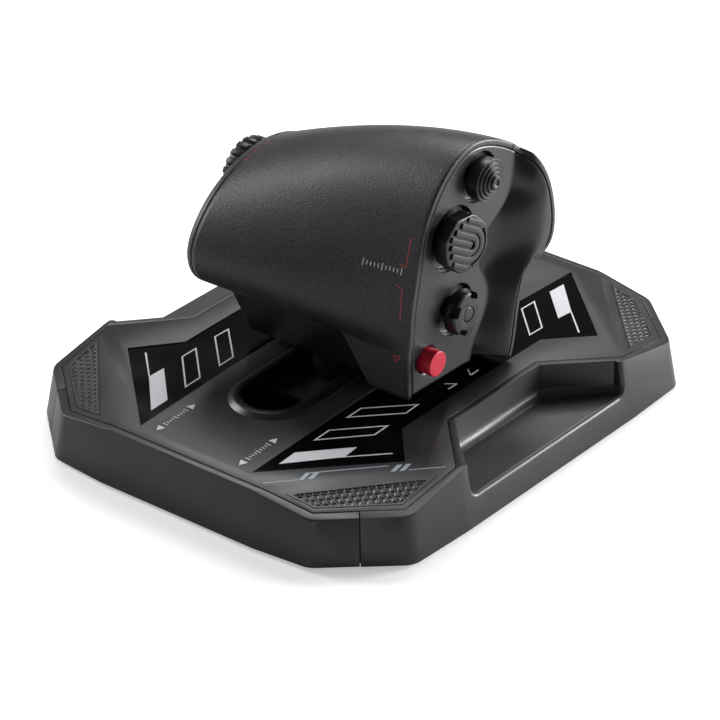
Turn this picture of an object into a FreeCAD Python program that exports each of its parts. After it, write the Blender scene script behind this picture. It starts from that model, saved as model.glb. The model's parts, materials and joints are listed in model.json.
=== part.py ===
"""Throttle quadrant: a sliding hand grip on a crowned desk base, as separate fitted pieces.

Frame: +Z up, +Y forward (the push direction), +X towards the thumb side, millimetres.
The origin is on the desk, midway between the base's ends and sides.
The grip is drawn at the middle of its travel.
"""
import FreeCAD, Part
import math
import os
import Sketcher

V = FreeCAD.Vector
doc = FreeCAD.newDocument("throttle_quadrant")

# ---------------------------------------------------------------- driving dimensions
SIZES = {
    # base plan, at the parting line between the top plate and the skirt (first quarter)
    "bend_x": 40.0, "end_y": 114.0,
    "tip_x": 64.0, "tip_y": 111.8,
    "side_x": 91.0, "side_y": 87.5,
    "waist_corner_x": 92.2, "waist_corner_y": 57.0,
    "waist_x": 67.5, "waist_y": 30.4,
    # base section
    "crown_top": 29.5, "crown_sag": 3.65, "flap_drop": 3.3,
    "skirt_bottom": 1.6, "skirt_flare": 4.7, "side_flare": 4.7, "corner_round": 9.0, "skirt_wall": 2.4,
    "rim_width": 2.8, "seam_gap": 0.35, "plate_thick": 3.0,
    "ledge_thick": 2.0, "ledge_width": 5.0,
    # scooped trays in the waist
    "tray_floor": 14.3, "tray_end_y": 52.0, "tray_fillet": 4.0, "tray_lip": 2.0,
    # slot and its bezel
    "slot_half": 13.3, "slot_end_clear": 4.3, "travel": 40.0,
    "bezel_half": 19.3, "bezel_rise": 1.9, "bezel_slope": 2.6, "bezel_wall": 1.8,
    # inlays and corner pads
    "inlay_inner_x": 29.5, "inlay_tip_y": 107.5, "inlay_corner_x": 73.6, "inlay_corner_y": 65.8,
    "inlay_waist_x": 57.5, "inlay_waist_y": 47.3, "inlay_thick": 1.2, "inlay_sink": 0.5,
    "pad_inset": 2.4, "pad_fold_gap": 4.6, "pad_thick": 1.4, "pad_proud": 0.3,
    # bottom pan, its posts and fasteners
    "pan_thick": 2.5, "pan_clear": 0.6, "post_r": 4.0, "post_top": 18.0,
    "post_x": 46.0, "post_y": 84.0, "post_mid_x": 54.0,
    "screw_r": 1.5, "screw_head_r": 2.8, "screw_head": 1.5, "screw_len": 22.0,
    "foot_r": 8.0, "foot_x": 62.0, "foot_y": 88.0, "foot_recess": 0.6, "foot_mid_x": 82.0,
    # guide rods and carriage
    "rod_r": 3.0, "rod_x": 24.0, "rod_z": 11.0, "rod_end_gap": 8.0, "rod_fit": 0.05,
    "block_thick": 8.0, "block_half": 31.0, "block_top": 16.0,
    "bush_r": 4.6, "bush_len": 12.0,
    "car_half_x": 31.0, "car_half_y": 28.0, "car_low": 6.0, "car_top": 16.0,
    "cover_half_x": 17.0, "cover_half_y": 46.5, "cover_low": 21.4, "cover_thick": 1.6,
    "neck_half_x": 10.5, "neck_half_y": 28.0,
    "magnet_r": 4.0, "magnet_thick": 2.0, "board_thick": 1.6,
    "sensor_half_x": 8.0, "sensor_half_y": 52.0, "standoff": 0.6,
    # main board and cable socket
    "mb_x": 44.0, "mb_y": 42.0, "mb_half_x": 11.0, "mb_half_y": 34.0, "mb_lift": 3.0,
    "usb_half_x": 4.6, "usb_height": 3.4, "usb_deep": 8.0, "usb_z": 9.0,
    # grip body
    "grip_left": -48.0, "grip_right": 54.0, "cap_round": 5.0, "shell_wall": 2.5,
    "under_rear_y": -39.0, "under_rear_z": 57.0, "under_slope": 0.16,
    "seam_front_y": 30.0, "apron_from": 20.0, "apron_to": 34.0, "apron_low": 37.0,
    "hull_low": 34.0, "leg_low": 31.4, "hull_low_left": -38.0,
    "hull_low_rear": -28.5, "hull_low_front": 21.0,
    "hull_left": -44.0, "hull_right": 43.0, "hull_rear": -35.8, "hull_front": 27.0,
    "hull_wall": 2.5, "panel_thick": 3.0, "panel_inset": 2.7, "panel_gap": 0.3,
    # thumb panel relief
    "well_depth": 3.4, "well_margin": 1.6, "valley_depth": 7.0, "bulge_rise": 5.5,
    # controls on the thumb panel: centre and radius
    "top_y": 6.9, "top_z": 120.0, "top_r": 9.2,
    "mid_y": -10.3, "mid_z": 99.0, "mid_r": 12.4,
    "low_y": -7.7, "low_z": 65.5, "low_r": 9.6,
    "red_y": -26.5, "red_z": 50.3, "red_r": 5.5, "red_rise": 5.9, "red_stroke": 1.6,
    "cap_under": 54.6, "top_cap": 8.6, "mid_cap": 8.0, "low_cap": 6.2,
    "pivot_x": 45.5, "stem_r": 2.6, "stem_clear": 2.4,
    "gimbal_r": 4.6, "gimbal_bore": 3.1, "gimbal_half": 1.1, "post_gap": 0.7,
    "centre_r": 3.2, "centre_fit": 0.3, "centre_stroke": 0.9,
    "gboard_x": 24.0, "switch_half": 7.0, "switch_face": 42.0, "rib_thick": 3.0,
    # ridged wheel on the far end
    "knob_y": -4.2, "knob_z": 91.0, "knob_r": 16.4, "knob_wide": 7.0, "knob_gap": 0.8,
    "knob_teeth": 22.0, "tooth_deep": 1.6, "shaft_r": 3.0, "shaft_fit": 0.05,
}

sheet = doc.addObject("Spreadsheet::Sheet", "Dims")
for row, (alias, value) in enumerate(SIZES.items(), start=1):
    sheet.set("A%d" % row, alias)
    sheet.set("B%d" % row, str(value))
    sheet.setAlias("B%d" % row, alias)
doc.recompute()


def size(alias):
    """The sheet's value for an alias, in millimetres."""
    return float(sheet.get(alias))


nodes = {}


def keep(obj, node):
    """Label an object with its node name and list it for export."""
    obj.Label = node
    nodes[node] = obj
    return obj


# ---------------------------------------------------------------- small PartDesign helpers
PLANES = {"XY": "XY_Plane", "XZ": "XZ_Plane", "YZ": "YZ_Plane"}


def new_body(node):
    return keep(doc.addObject("PartDesign::Body", node), node)


def bind(obj, prop, formula):
    obj.setExpression(prop, formula)


def value_of(formula):
    """Evaluate a formula written in sheet aliases."""
    return float(sheet.evalExpression(formula.replace("Dims.", "")))


def new_sketch(body, name, plane="XY", lift=None):
    sk = body.newObject("Sketcher::SketchObject", body.Name + "_" + name)
    for feature in body.Origin.OriginFeatures:
        if feature.Role == PLANES[plane]:
            sk.AttachmentSupport = [(feature, "")]
    sk.MapMode = "FlatFace"
    if lift:
        bind(sk, "AttachmentOffset.Base.z", lift)
    return sk


def pin_point(sk, geo, pos, x, y):
    """Hold one sketch point at (x, y), each a formula that may start with a minus."""
    for kind, formula in (("DistanceX", x), ("DistanceY", y)):
        amount = value_of(formula)
        if abs(amount) < 1e-9:
            other = -2 if kind == "DistanceX" else -1
            sk.addConstraint(Sketcher.Constraint("PointOnObject", geo, pos, other))
        elif amount > 0:
            i = sk.addConstraint(Sketcher.Constraint(kind, -1, 1, geo, pos, amount))
            bind(sk, "Constraints[%d]" % i, formula)
        else:
            i = sk.addConstraint(Sketcher.Constraint(kind, geo, pos, -1, 1, -amount))
            bind(sk, "Constraints[%d]" % i, "-(%s)" % formula)


def polygon(sk, corners):
    """A closed outline through corners, each a pair of formulas."""
    pts = [V(value_of(x), value_of(y), 0) for x, y in corners]
    first = None
    count = len(pts)
    for i in range(count):
        g = sk.addGeometry(Part.LineSegment(pts[i], pts[(i + 1) % count]), False)
        first = g if first is None else first
    for i in range(count):
        a, b = first + i, first + (i + 1) % count
        sk.addConstraint(Sketcher.Constraint("Coincident", a, 2, b, 1))
    for i, (x, y) in enumerate(corners):
        pin_point(sk, first + i, 1, x, y)


def rectangle(sk, x, y, half_x, half_y):
    polygon(sk, [("%s-(%s)" % (x, half_x), "%s-(%s)" % (y, half_y)),
                 ("%s+(%s)" % (x, half_x), "%s-(%s)" % (y, half_y)),
                 ("%s+(%s)" % (x, half_x), "%s+(%s)" % (y, half_y)),
                 ("%s-(%s)" % (x, half_x), "%s+(%s)" % (y, half_y))])


def circle(sk, x, y, radius):
    g = sk.addGeometry(Part.Circle(V(value_of(x), value_of(y), 0), V(0, 0, 1), value_of(radius)), False)
    i = sk.addConstraint(Sketcher.Constraint("Radius", g, value_of(radius)))
    bind(sk, "Constraints[%d]" % i, radius)
    pin_point(sk, g, 3, x, y)


def slot_outline(sk, half_x, reach):
    """A slot along the sketch's second axis: half width, and half the straight length."""
    r, s = value_of(half_x), value_of(reach)
    left = sk.addGeometry(Part.LineSegment(V(-r, s, 0), V(-r, -s, 0)), False)
    lower_ring, upper_ring = (Part.Circle(V(0, end, 0), V(0, 0, 1), r) for end in (-s, s))
    low = sk.addGeometry(Part.ArcOfCircle(lower_ring, math.pi, 2 * math.pi), False)
    right = sk.addGeometry(Part.LineSegment(V(r, -s, 0), V(r, s, 0)), False)
    high = sk.addGeometry(Part.ArcOfCircle(upper_ring, 0, math.pi), False)
    for a, pa, b, pb in ((left, 2, low, 1), (low, 2, right, 1), (right, 2, high, 1), (high, 2, left, 1)):
        sk.addConstraint(Sketcher.Constraint("Tangent", a, pa, b, pb))
    sk.addConstraint(Sketcher.Constraint("Vertical", left))
    i = sk.addConstraint(Sketcher.Constraint("Radius", high, r))
    bind(sk, "Constraints[%d]" % i, half_x)
    pin_point(sk, high, 3, "0", reach)
    pin_point(sk, low, 3, "0", "-(%s)" % reach)


def pad(body, sk, length, down=False):
    f = body.newObject("PartDesign::Pad", sk.Name + "_pad")
    f.Profile = sk
    f.Length = value_of(length)
    bind(f, "Length", length)
    f.Reversed = down
    return f


def pocket(body, sk, depth, up=False):
    """Cut a sketch's outline away; the volume must fall, so the direction is checked."""
    doc.recompute()
    before = body.Shape.Volume
    f = body.newObject("PartDesign::Pocket", sk.Name + "_pocket")
    f.Profile = sk
    f.Length = value_of(depth)
    bind(f, "Length", depth)
    f.Reversed = up
    doc.recompute()
    if body.Shape.Volume >= before - 1e-6:
        raise RuntimeError("the pocket %s cuts nothing" % f.Name)
    return f


def revolve(body, sk, cut=False):
    kind = "PartDesign::Groove" if cut else "PartDesign::Revolution"
    f = body.newObject(kind, sk.Name + "_turn")
    f.Profile = sk
    f.ReferenceAxis = (sk, ["V_Axis"])
    f.Angle = 360
    return f


def place(obj, x="0", y="0", z="0", turn=None):
    """Put an object at a formula-driven place; turn is a FreeCAD.Rotation."""
    obj.Placement = FreeCAD.Placement(V(value_of(x), value_of(y), value_of(z)), turn or FreeCAD.Rotation())
    for axis, formula in (("x", x), ("y", y), ("z", z)):
        bind(obj, "Placement.Base." + axis, formula)


TO_THUMB = FreeCAD.Rotation(V(0, 1, 0), 90)      # a body's own Z turned to +X
TO_FAR = FreeCAD.Rotation(V(0, 1, 0), -90)       # a body's own Z turned to -X


# ---------------------------------------------------------------- shapes of the crowned base
BIG = 400.0


def quarters(points):
    """Mirror first-quarter corners, given from the end to the side, round all four quarters."""
    ring = [V(x, y, 0) for x, y in points]
    ring += [V(x, -y, 0) for x, y in reversed(points)]
    ring += [V(-x, -y, 0) for x, y in points]
    ring += [V(-x, y, 0) for x, y in reversed(points)]
    return ring


def ring_at(points):
    """A closed wire through points in space."""
    return Part.makePolygon(points + [points[0]])


def ring_wire(points, z=0.0):
    pts = [V(p.x, p.y, z) for p in points]
    return Part.makePolygon(pts + [pts[0]])


def outline_points():
    """The octagon that the skirt follows."""
    return quarters([(size("bend_x"), size("end_y")), (size("tip_x"), size("tip_y")),
                     (size("side_x"), size("side_y")), (size("waist_corner_x"), size("waist_corner_y"))])


def plate_points():
    """The hourglass outline of the top plate."""
    return quarters([(size("bend_x"), size("end_y")), (size("tip_x"), size("tip_y")),
                     (size("side_x"), size("side_y")), (size("waist_corner_x"), size("waist_corner_y")),
                     (size("waist_x"), size("waist_y"))])


def mitred(points, amount):
    """Offset a ring of points outward with sharp corners, by one amount or by one for each side."""
    count = len(points)
    amounts = amount if isinstance(amount, list) else [amount] * count
    area = sum(points[i - 1].x * points[i].y - points[i].x * points[i - 1].y for i in range(count))
    turn = 1.0 if area > 0 else -1.0
    moved = []
    for i, p in enumerate(points):
        a, b = p - points[i - 1], points[(i + 1) % count] - p
        a.normalize()
        b.normalize()
        na, nb = V(a.y, -a.x, 0) * turn, V(b.y, -b.x, 0) * turn
        before, after, turned = amounts[i - 1], amounts[i], na.dot(nb)
        moved.append(p + (na * (before - after * turned) + nb * (after - before * turned))
                     * (1 / (1 - turned ** 2)))
    return moved


def grown(points, amount, z=0.0):
    """A ring of points offset outward by amount, at height z, with sharp corners."""
    return ring_wire(mitred(points, amount), z)


def skirt_outline(inset, z, flared):
    """The skirt's outline with rounded corners, moved in by inset, at its top or at its flared foot."""
    points = outline_points()
    moves = []
    for a, b in zip(points, points[1:] + points[:1]):
        at_end = min(abs(a.y), abs(b.y)) > size("tip_y") - size("seam_gap")
        flare = size("skirt_flare") if at_end else size("side_flare")
        moves.append(size("rim_width") - size("corner_round") + (flare if flared else 0.0))
    wire = ring_wire(mitred(points, moves)).makeOffset2D(size("corner_round") - inset, 0, False, False)
    wire.translate(V(0, 0, z))
    return wire


def prism(wire, low, high):
    face = Part.Face(wire)
    face.translate(V(0, 0, low - wire.BoundBox.ZMin))
    return face.extrude(V(0, 0, high - low))


def crown_radius():
    return (size("end_y") ** 2 + size("crown_sag") ** 2) / (2 * size("crown_sag"))


def crown_z(y, sink=0.0):
    """Height of the crowned top at a distance y from the middle, less sink."""
    r = crown_radius()
    return size("crown_top") - r + math.sqrt((r - sink) ** 2 - y * y)


def flap_plane(sx, sy):
    """Point and upward normal of one corner flap, folded down along its line."""
    p1 = V(sx * size("bend_x"), sy * size("end_y"), crown_z(size("end_y")))
    p2 = V(sx * size("waist_corner_x"), sy * size("waist_corner_y"), crown_z(size("waist_corner_y")))
    p3 = V(sx * size("tip_x"), sy * size("tip_y"), crown_z(size("tip_y")) - size("flap_drop"))
    n = (p2 - p1).cross(p3 - p1)
    n.normalize()
    return p1, n if n.z > 0 else n * -1


def below_top(sink=0.0):
    """Everything under the crowned and folded top surface, lowered by sink."""
    r = crown_radius() - sink
    cyl = Part.makeCylinder(r, 2 * BIG, V(-BIG, 0, size("crown_top") - crown_radius()), V(1, 0, 0))
    body = Part.makeBox(2 * BIG, 2 * BIG, BIG, V(-BIG, -BIG, -BIG / 2)).common(cyl)
    for sx in (1, -1):
        for sy in (1, -1):
            point, normal = flap_plane(sx, sy)
            box = Part.makeBox(2 * BIG, 2 * BIG, BIG, V(-BIG, -BIG, 0))
            box.Placement = FreeCAD.Placement(point - normal * sink, FreeCAD.Rotation(V(0, 0, 1), normal))
            body = body.cut(box)
    return body


def top_layer(upper, lower):
    """The sheet between two depths under the top surface."""
    return below_top(upper).cut(below_top(lower))


def tray_prism(side, wall=0.0):
    """The scooped tray's space on one side, grown by a wall."""
    rim = size("rim_width")
    dx, dy = size("waist_corner_x") - size("waist_x"), size("waist_corner_y") - size("waist_y")
    x_in = size("waist_x") + rim
    y_in = size("waist_y") + rim * (dy / math.hypot(dx, dy) - 1) - rim * 0.4
    y_out = size("tray_end_y")
    x_out = x_in + (y_out - y_in) * dx / dy
    far = size("waist_corner_x") + 4 * rim + size("skirt_flare") + wall
    pts = [V(side * x_in, y_in, 0), V(side * x_out, y_out, 0), V(side * far, y_out, 0),
           V(side * far, -y_out, 0), V(side * x_out, -y_out, 0), V(side * x_in, -y_in, 0)]
    floor = size("tray_floor") - wall
    block = prism(grown(pts, wall), floor, 2 * size("crown_top"))
    foot = [e for e in block.Edges if e.BoundBox.ZMax < floor + 0.1 and abs(e.CenterOfMass.x) < far - 1]
    return block.makeFillet(size("tray_fillet") + wall, foot)


def skirt_solid(inset):
    """The flared outer form of the base, moved in by inset."""
    low = skirt_outline(inset, size("skirt_bottom"), True)
    high = skirt_outline(inset, size("crown_top"), False)
    return Part.makeLoft([low, high], True, True)


def feature(node, shape):
    """A piece whose form follows the crowned top or the hand: set from its own functions."""
    obj = doc.addObject("Part::Feature", node)
    if shape.ShapeType == "Compound" and len(shape.Solids) == 1:
        shape = shape.Solids[0]
    obj.Shape = shape
    obj.Placement = FreeCAD.Placement()
    return keep(obj, node)


def corner_middle(sx, sy):
    """Middle of one corner's chamfer and its outward direction in plan."""
    a = V(sx * size("tip_x"), sy * size("tip_y"), 0)
    b = V(sx * size("side_x"), sy * size("side_y"), 0)
    along = b - a
    out = V(along.y, -along.x, 0)
    out.normalize()
    middle = (a + b) * 0.5
    return middle, out if out.dot(middle) > 0 else out * -1


def skirt_pieces():
    """Split the skirt, with its ledge and trays, into two bumpers and two side shells."""
    wall, gap = size("skirt_wall"), size("seam_gap")
    outer = skirt_solid(0.0).common(below_top())
    inner = skirt_solid(wall).common(below_top(wall))
    for side in (1, -1):
        outer = outer.cut(tray_prism(side))
        inner = inner.cut(tray_prism(side, wall))
    lips = [e for e in outer.Edges if abs(e.CenterOfMass.z - size("tray_floor")) < 0.05
            and abs(e.CenterOfMass.x) > size("waist_corner_x") and e.Length > size("tray_end_y") / 2]
    outer = outer.makeFillet(size("tray_lip"), lips)
    ring = outer.cut(inner).cut(prism(grown(plate_points(), gap), size("skirt_bottom") - 1, BIG))
    under = size("plate_thick")
    ledge = skirt_solid(wall / 2).common(top_layer(under, under + size("ledge_thick")))
    ledge = ledge.cut(prism(grown(plate_points(), -size("ledge_width")), 0, BIG))
    for side in (1, -1):
        ledge = ledge.cut(tray_prism(side, wall / 2))
    ring = ring.fuse(ledge).removeSplitter()
    floor_cut = Part.makeBox(2 * BIG, 2 * BIG, size("skirt_bottom") + BIG, V(-BIG, -BIG, -BIG))
    ring = ring.cut(floor_cut)
    far = {}
    for sx in (1, -1):
        for sy in (1, -1):
            middle, out = corner_middle(sx, sy)
            far[sx, sy] = (middle + out * 60, middle - out * 30)
            slit = Part.makeBox(120, gap, BIG, V(-60, -gap / 2, 0))
            turn = FreeCAD.Rotation(V(1, 0, 0), out)
            slit.Placement = FreeCAD.Placement(middle, turn)
            ring = ring.cut(slit)
    cells = {
        "right_side_shell": [far[1, -1][1], far[1, -1][0], V(BIG, far[1, -1][0].y, 0),
                             V(BIG, far[1, 1][0].y, 0), far[1, 1][0], far[1, 1][1]],
        "left_side_shell": [far[-1, 1][1], far[-1, 1][0], V(-BIG, far[-1, 1][0].y, 0),
                            V(-BIG, far[-1, -1][0].y, 0), far[-1, -1][0], far[-1, -1][1]],
        "front_bumper": [far[1, 1][1], far[1, 1][0], V(0, BIG, 0), far[-1, 1][0], far[-1, 1][1]],
        "rear_bumper": [far[-1, -1][1], far[-1, -1][0], V(0, -BIG, 0), far[1, -1][0], far[1, -1][1]],
    }
    socket = Part.makeBox(2 * size("usb_half_x"), 60, size("usb_height"),
                          V(-size("usb_half_x"), size("end_y") - 10, size("usb_z") - size("usb_height") / 2))
    for node, corners in cells.items():
        piece = ring.common(prism(ring_wire(corners), 0, BIG))
        if node == "front_bumper":
            piece = piece.cut(socket)
        feature(node, piece)


def slot_reach():
    """Half the slot's straight length: the neck at the end of its travel, and a clearance."""
    return size("travel") + size("neck_half_y") + size("slot_end_clear") - size("slot_half")


def slot_prism(half, reach, low, high):
    r = half
    top = Part.makeBox(2 * r, 2 * reach, high - low, V(-r, -reach, low))
    for sy in (1, -1):
        top = top.fuse(Part.makeCylinder(r, high - low, V(0, sy * reach, low)))
    return top.removeSplitter()


def slot_taper(half_low, half_high, reach, low, high):
    """A slot-shaped block whose flank slopes from one half width to another."""
    body = None
    for sy in (1, -1):
        cone = Part.makeCone(half_low, half_high, high - low, V(0, sy * reach, low))
        body = cone if body is None else body.fuse(cone)
    profile = Part.makePolygon([V(-half_low, -reach, low), V(half_low, -reach, low),
                                V(half_high, -reach, high), V(-half_high, -reach, high),
                                V(-half_low, -reach, low)])
    return body.fuse(Part.Face(profile).extrude(V(0, 2 * reach, 0))).removeSplitter()


def inlay_points(side, grow=0.0):
    pts = [(size("inlay_inner_x"), size("inlay_tip_y")), (size("inlay_corner_x"), size("inlay_corner_y")),
           (size("inlay_waist_x"), size("inlay_waist_y"))]
    ring = [V(side * x, y, 0) for x, y in pts] + [V(side * x, -y, 0) for x, y in reversed(pts)]
    return grown(ring, grow)


def pad_points(sx, sy, grow=0.0):
    """A corner pad's outline: the flap, set in from the parting line and back from the fold."""
    ring = [V(sx * size("bend_x"), sy * size("end_y"), 0), V(sx * size("tip_x"), sy * size("tip_y"), 0),
            V(sx * size("side_x"), sy * size("side_y"), 0),
            V(sx * size("waist_corner_x"), sy * size("waist_corner_y"), 0)]
    inner = mitred(ring, -size("pad_inset"))
    fold = inner[3] - inner[0]
    fold.normalize()
    out = V(-fold.y, fold.x, 0)
    out = out if out.dot(ring[1] - ring[0]) > 0 else out * -1
    back = size("pad_fold_gap") - size("pad_inset")
    edge_a, edge_b = inner[1] - inner[0], inner[2] - inner[3]
    inner[0] = inner[0] + edge_a * (back / edge_a.dot(out))
    inner[3] = inner[3] + edge_b * (back / edge_b.dot(out))
    return ring_wire(mitred(inner, grow))


def post_places():
    """Plan places of the posts that the top plate is screwed to."""
    x, y, mid = size("post_x"), size("post_y"), size("post_mid_x")
    return [(x, y), (-x, y), (x, -y), (-x, -y), (mid, 0.0), (-mid, 0.0)]


def foot_places():
    x, y, mid = size("foot_x"), size("foot_y"), size("foot_mid_x")
    return [(x, y), (-x, y), (x, -y), (-x, -y), (mid, 0.0), (-mid, 0.0)]


def cylinders(places, radius, low, high):
    """Upright cylinders at plan places, as one compound."""
    return Part.makeCompound([Part.makeCylinder(radius, high - low, V(x, y, low)) for x, y in places])


def build_top_plate():
    gap, thick = size("seam_gap"), size("plate_thick")
    plate = prism(ring_wire(plate_points()), 0, BIG).common(top_layer(0.0, thick))
    bosses = cylinders(post_places(), size("post_r"), size("post_top"), size("crown_top"))
    plate = plate.fuse(bosses.common(below_top(thick / 2)))
    plate = plate.cut(cylinders(post_places(), size("screw_r"), 0, size("post_top") + size("post_r")))
    opening = slot_prism(size("slot_half") + size("bezel_wall") + gap / 2, slot_reach(), 0, BIG)
    plate = plate.cut(opening)
    for side in (1, -1):
        recess = prism(inlay_points(side, gap / 2), 0, BIG)
        plate = plate.cut(recess.cut(below_top(size("inlay_thick") + size("inlay_sink"))))
    for sx in (1, -1):
        for sy in (1, -1):
            recess = prism(pad_points(sx, sy, gap / 2), 0, BIG)
            plate = plate.cut(recess.cut(below_top(size("pad_thick") - size("pad_proud"))))
    feature("top_plate", plate)


def build_bezel():
    half, reach, rise = size("slot_half"), slot_reach(), size("bezel_rise")
    wide = size("bezel_half")
    low, high = size("crown_top") - 3 * rise, size("crown_top") + rise
    collar = slot_taper(wide + 2 * size("bezel_slope"), wide - size("bezel_slope"), reach, low, high)
    collar = collar.common(slot_prism(wide, reach, low, high + 1))
    collar = collar.common(below_top(-rise)).cut(below_top(0.0))
    throat = slot_prism(half + size("bezel_wall"), reach, 0, BIG).common(
        top_layer(-rise / 2, size("plate_thick")))
    bezel = collar.fuse(throat).cut(slot_prism(half, reach, 0, BIG)).removeSplitter()
    feature("slot_bezel", bezel)


def build_inlays_and_pads():
    for side, node in ((1, "right_inlay"), (-1, "left_inlay")):
        sink = size("inlay_sink")
        feature(node, prism(inlay_points(side), 0, BIG).common(top_layer(sink, sink + size("inlay_thick"))))
    names = {(1, -1): "pad_rear_right", (-1, -1): "pad_rear_left",
             (1, 1): "pad_front_right", (-1, 1): "pad_front_left"}
    proud = size("pad_proud")
    for (sx, sy), node in names.items():
        feature(node, prism(pad_points(sx, sy), 0, BIG).common(top_layer(-proud, size("pad_thick") - proud)))


def build_pan():
    low, thick = size("skirt_bottom"), size("pan_thick")
    pan = prism(skirt_outline(size("skirt_wall") + size("pan_clear"), low, True), low, low + thick)
    posts = cylinders(post_places(), size("post_r"), low + thick / 2, size("post_top"))
    pan = pan.fuse(posts)
    pan = pan.cut(cylinders(post_places(), size("screw_r"), 0, BIG))
    pan = pan.cut(cylinders(post_places(), size("screw_head_r"), 0, low + size("screw_head") + 0.3))
    pan = pan.cut(cylinders(foot_places(), size("foot_r"), 0, low + size("foot_recess")))
    feature("bottom_pan", pan.removeSplitter())


def build_base_hardware():
    low = size("skirt_bottom")
    feet = cylinders(foot_places(), size("foot_r"), 0, low + size("foot_recess"))
    feature("rubber_feet", feet)
    top = low + 0.3 + size("screw_head")
    screws = []
    for x, y in post_places():
        head = Part.makeCylinder(size("screw_head_r"), size("screw_head"), V(x, y, top - size("screw_head")))
        end = min(top + size("screw_len"), size("post_top") + size("post_r"))
        shank = Part.makeCylinder(size("screw_r"), end - top, V(x, y, top))
        screws.append(head.fuse(shank))
    feature("base_screws", Part.makeCompound(screws))


skirt_pieces()
build_top_plate()
build_bezel()
build_inlays_and_pads()
build_pan()
build_base_hardware()

PAN_TOP = "(Dims.skirt_bottom + Dims.pan_thick)"
ROD_HALF = "(Dims.end_y - Dims.rod_end_gap)"


# ---------------------------------------------------------------- guide rods and carriage
def build_rods():
    for node, side in (("guide_rod_right", ""), ("guide_rod_left", "-")):
        rod = doc.addObject("Part::Cylinder", node)
        bind(rod, "Radius", "Dims.rod_r")
        bind(rod, "Height", "2 * " + ROD_HALF)
        place(rod, side + "Dims.rod_x", "-" + ROD_HALF, "Dims.rod_z", FreeCAD.Rotation(V(1, 0, 0), -90))
        keep(rod, node)
    for node, y in (("rod_block_front", ROD_HALF + " - Dims.block_thick"),
                    ("rod_block_rear", "-" + ROD_HALF)):
        body = new_body(node)
        sk = new_sketch(body, "outline")
        rectangle(sk, "0", "Dims.block_thick / 2", "Dims.block_half", "Dims.block_thick / 2")
        pad(body, sk, "Dims.block_top - %s" % PAN_TOP)
        holes = new_sketch(body, "bores", "XZ")
        circle(holes, "Dims.rod_x", "Dims.rod_z - %s" % PAN_TOP, "Dims.rod_r")
        circle(holes, "-Dims.rod_x", "Dims.rod_z - %s" % PAN_TOP, "Dims.rod_r")
        pocket(body, holes, "Dims.block_thick")
        place(body, "0", y, PAN_TOP)


def build_carriage():
    body = new_body("carriage_block")
    sk = new_sketch(body, "outline")
    rectangle(sk, "0", "0", "Dims.car_half_x", "Dims.car_half_y")
    pad(body, sk, "Dims.car_top - Dims.car_low")
    bores = new_sketch(body, "bores", "XZ", "Dims.car_half_y")
    for side in ("", "-"):
        circle(bores, side + "Dims.rod_x", "Dims.rod_z - Dims.car_low", "Dims.bush_r")
    pocket(body, bores, "2 * Dims.car_half_y")
    seat = new_sketch(body, "magnet_seat")
    circle(seat, "0", "0", "Dims.magnet_r")
    pocket(body, seat, "Dims.magnet_thick", up=True)
    place(body, "0", "0", "Dims.car_low")

    sleeves = []
    for sx in (1, -1):
        for sy in (1, -1):
            start = size("car_half_y") - size("bush_len") if sy > 0 else -size("car_half_y")
            at = V(sx * size("rod_x"), start, size("rod_z"))
            outer = Part.makeCylinder(size("bush_r"), size("bush_len"), at, V(0, 1, 0))
            bore = Part.makeCylinder(size("rod_r") + size("rod_fit"), size("bush_len"), at, V(0, 1, 0))
            sleeves.append(outer.cut(bore))
    feature("carriage_bushings", Part.makeCompound(sleeves))

    magnet = doc.addObject("Part::Cylinder", "sensor_magnet")
    bind(magnet, "Radius", "Dims.magnet_r")
    bind(magnet, "Height", "Dims.magnet_thick")
    place(magnet, "0", "0", "Dims.car_low")
    keep(magnet, "sensor_magnet")

    strip = new_body("sensor_board")
    sk = new_sketch(strip, "outline")
    rectangle(sk, "0", "0", "Dims.sensor_half_x", "Dims.sensor_half_y")
    pad(strip, sk, "Dims.board_thick - Dims.standoff / 2")
    place(strip, "0", "0", PAN_TOP)

    neck = new_body("neck")
    sk = new_sketch(neck, "section")
    slot_outline(sk, "Dims.neck_half_x", "Dims.neck_half_y - Dims.neck_half_x")
    pad(neck, sk, "Dims.hull_low - Dims.car_top")
    place(neck, "0", "0", "Dims.car_top")

    cover = new_body("slot_cover")
    sk = new_sketch(cover, "outline")
    rectangle(sk, "0", "0", "Dims.cover_half_x", "Dims.cover_half_y")
    pad(cover, sk, "Dims.cover_thick")
    hole = new_sketch(cover, "neck_hole")
    slot_outline(hole, "Dims.neck_half_x + 0.1", "Dims.neck_half_y - Dims.neck_half_x")
    pocket(cover, hole, "Dims.cover_thick", up=True)
    place(cover, "0", "0", "Dims.cover_low")


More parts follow.
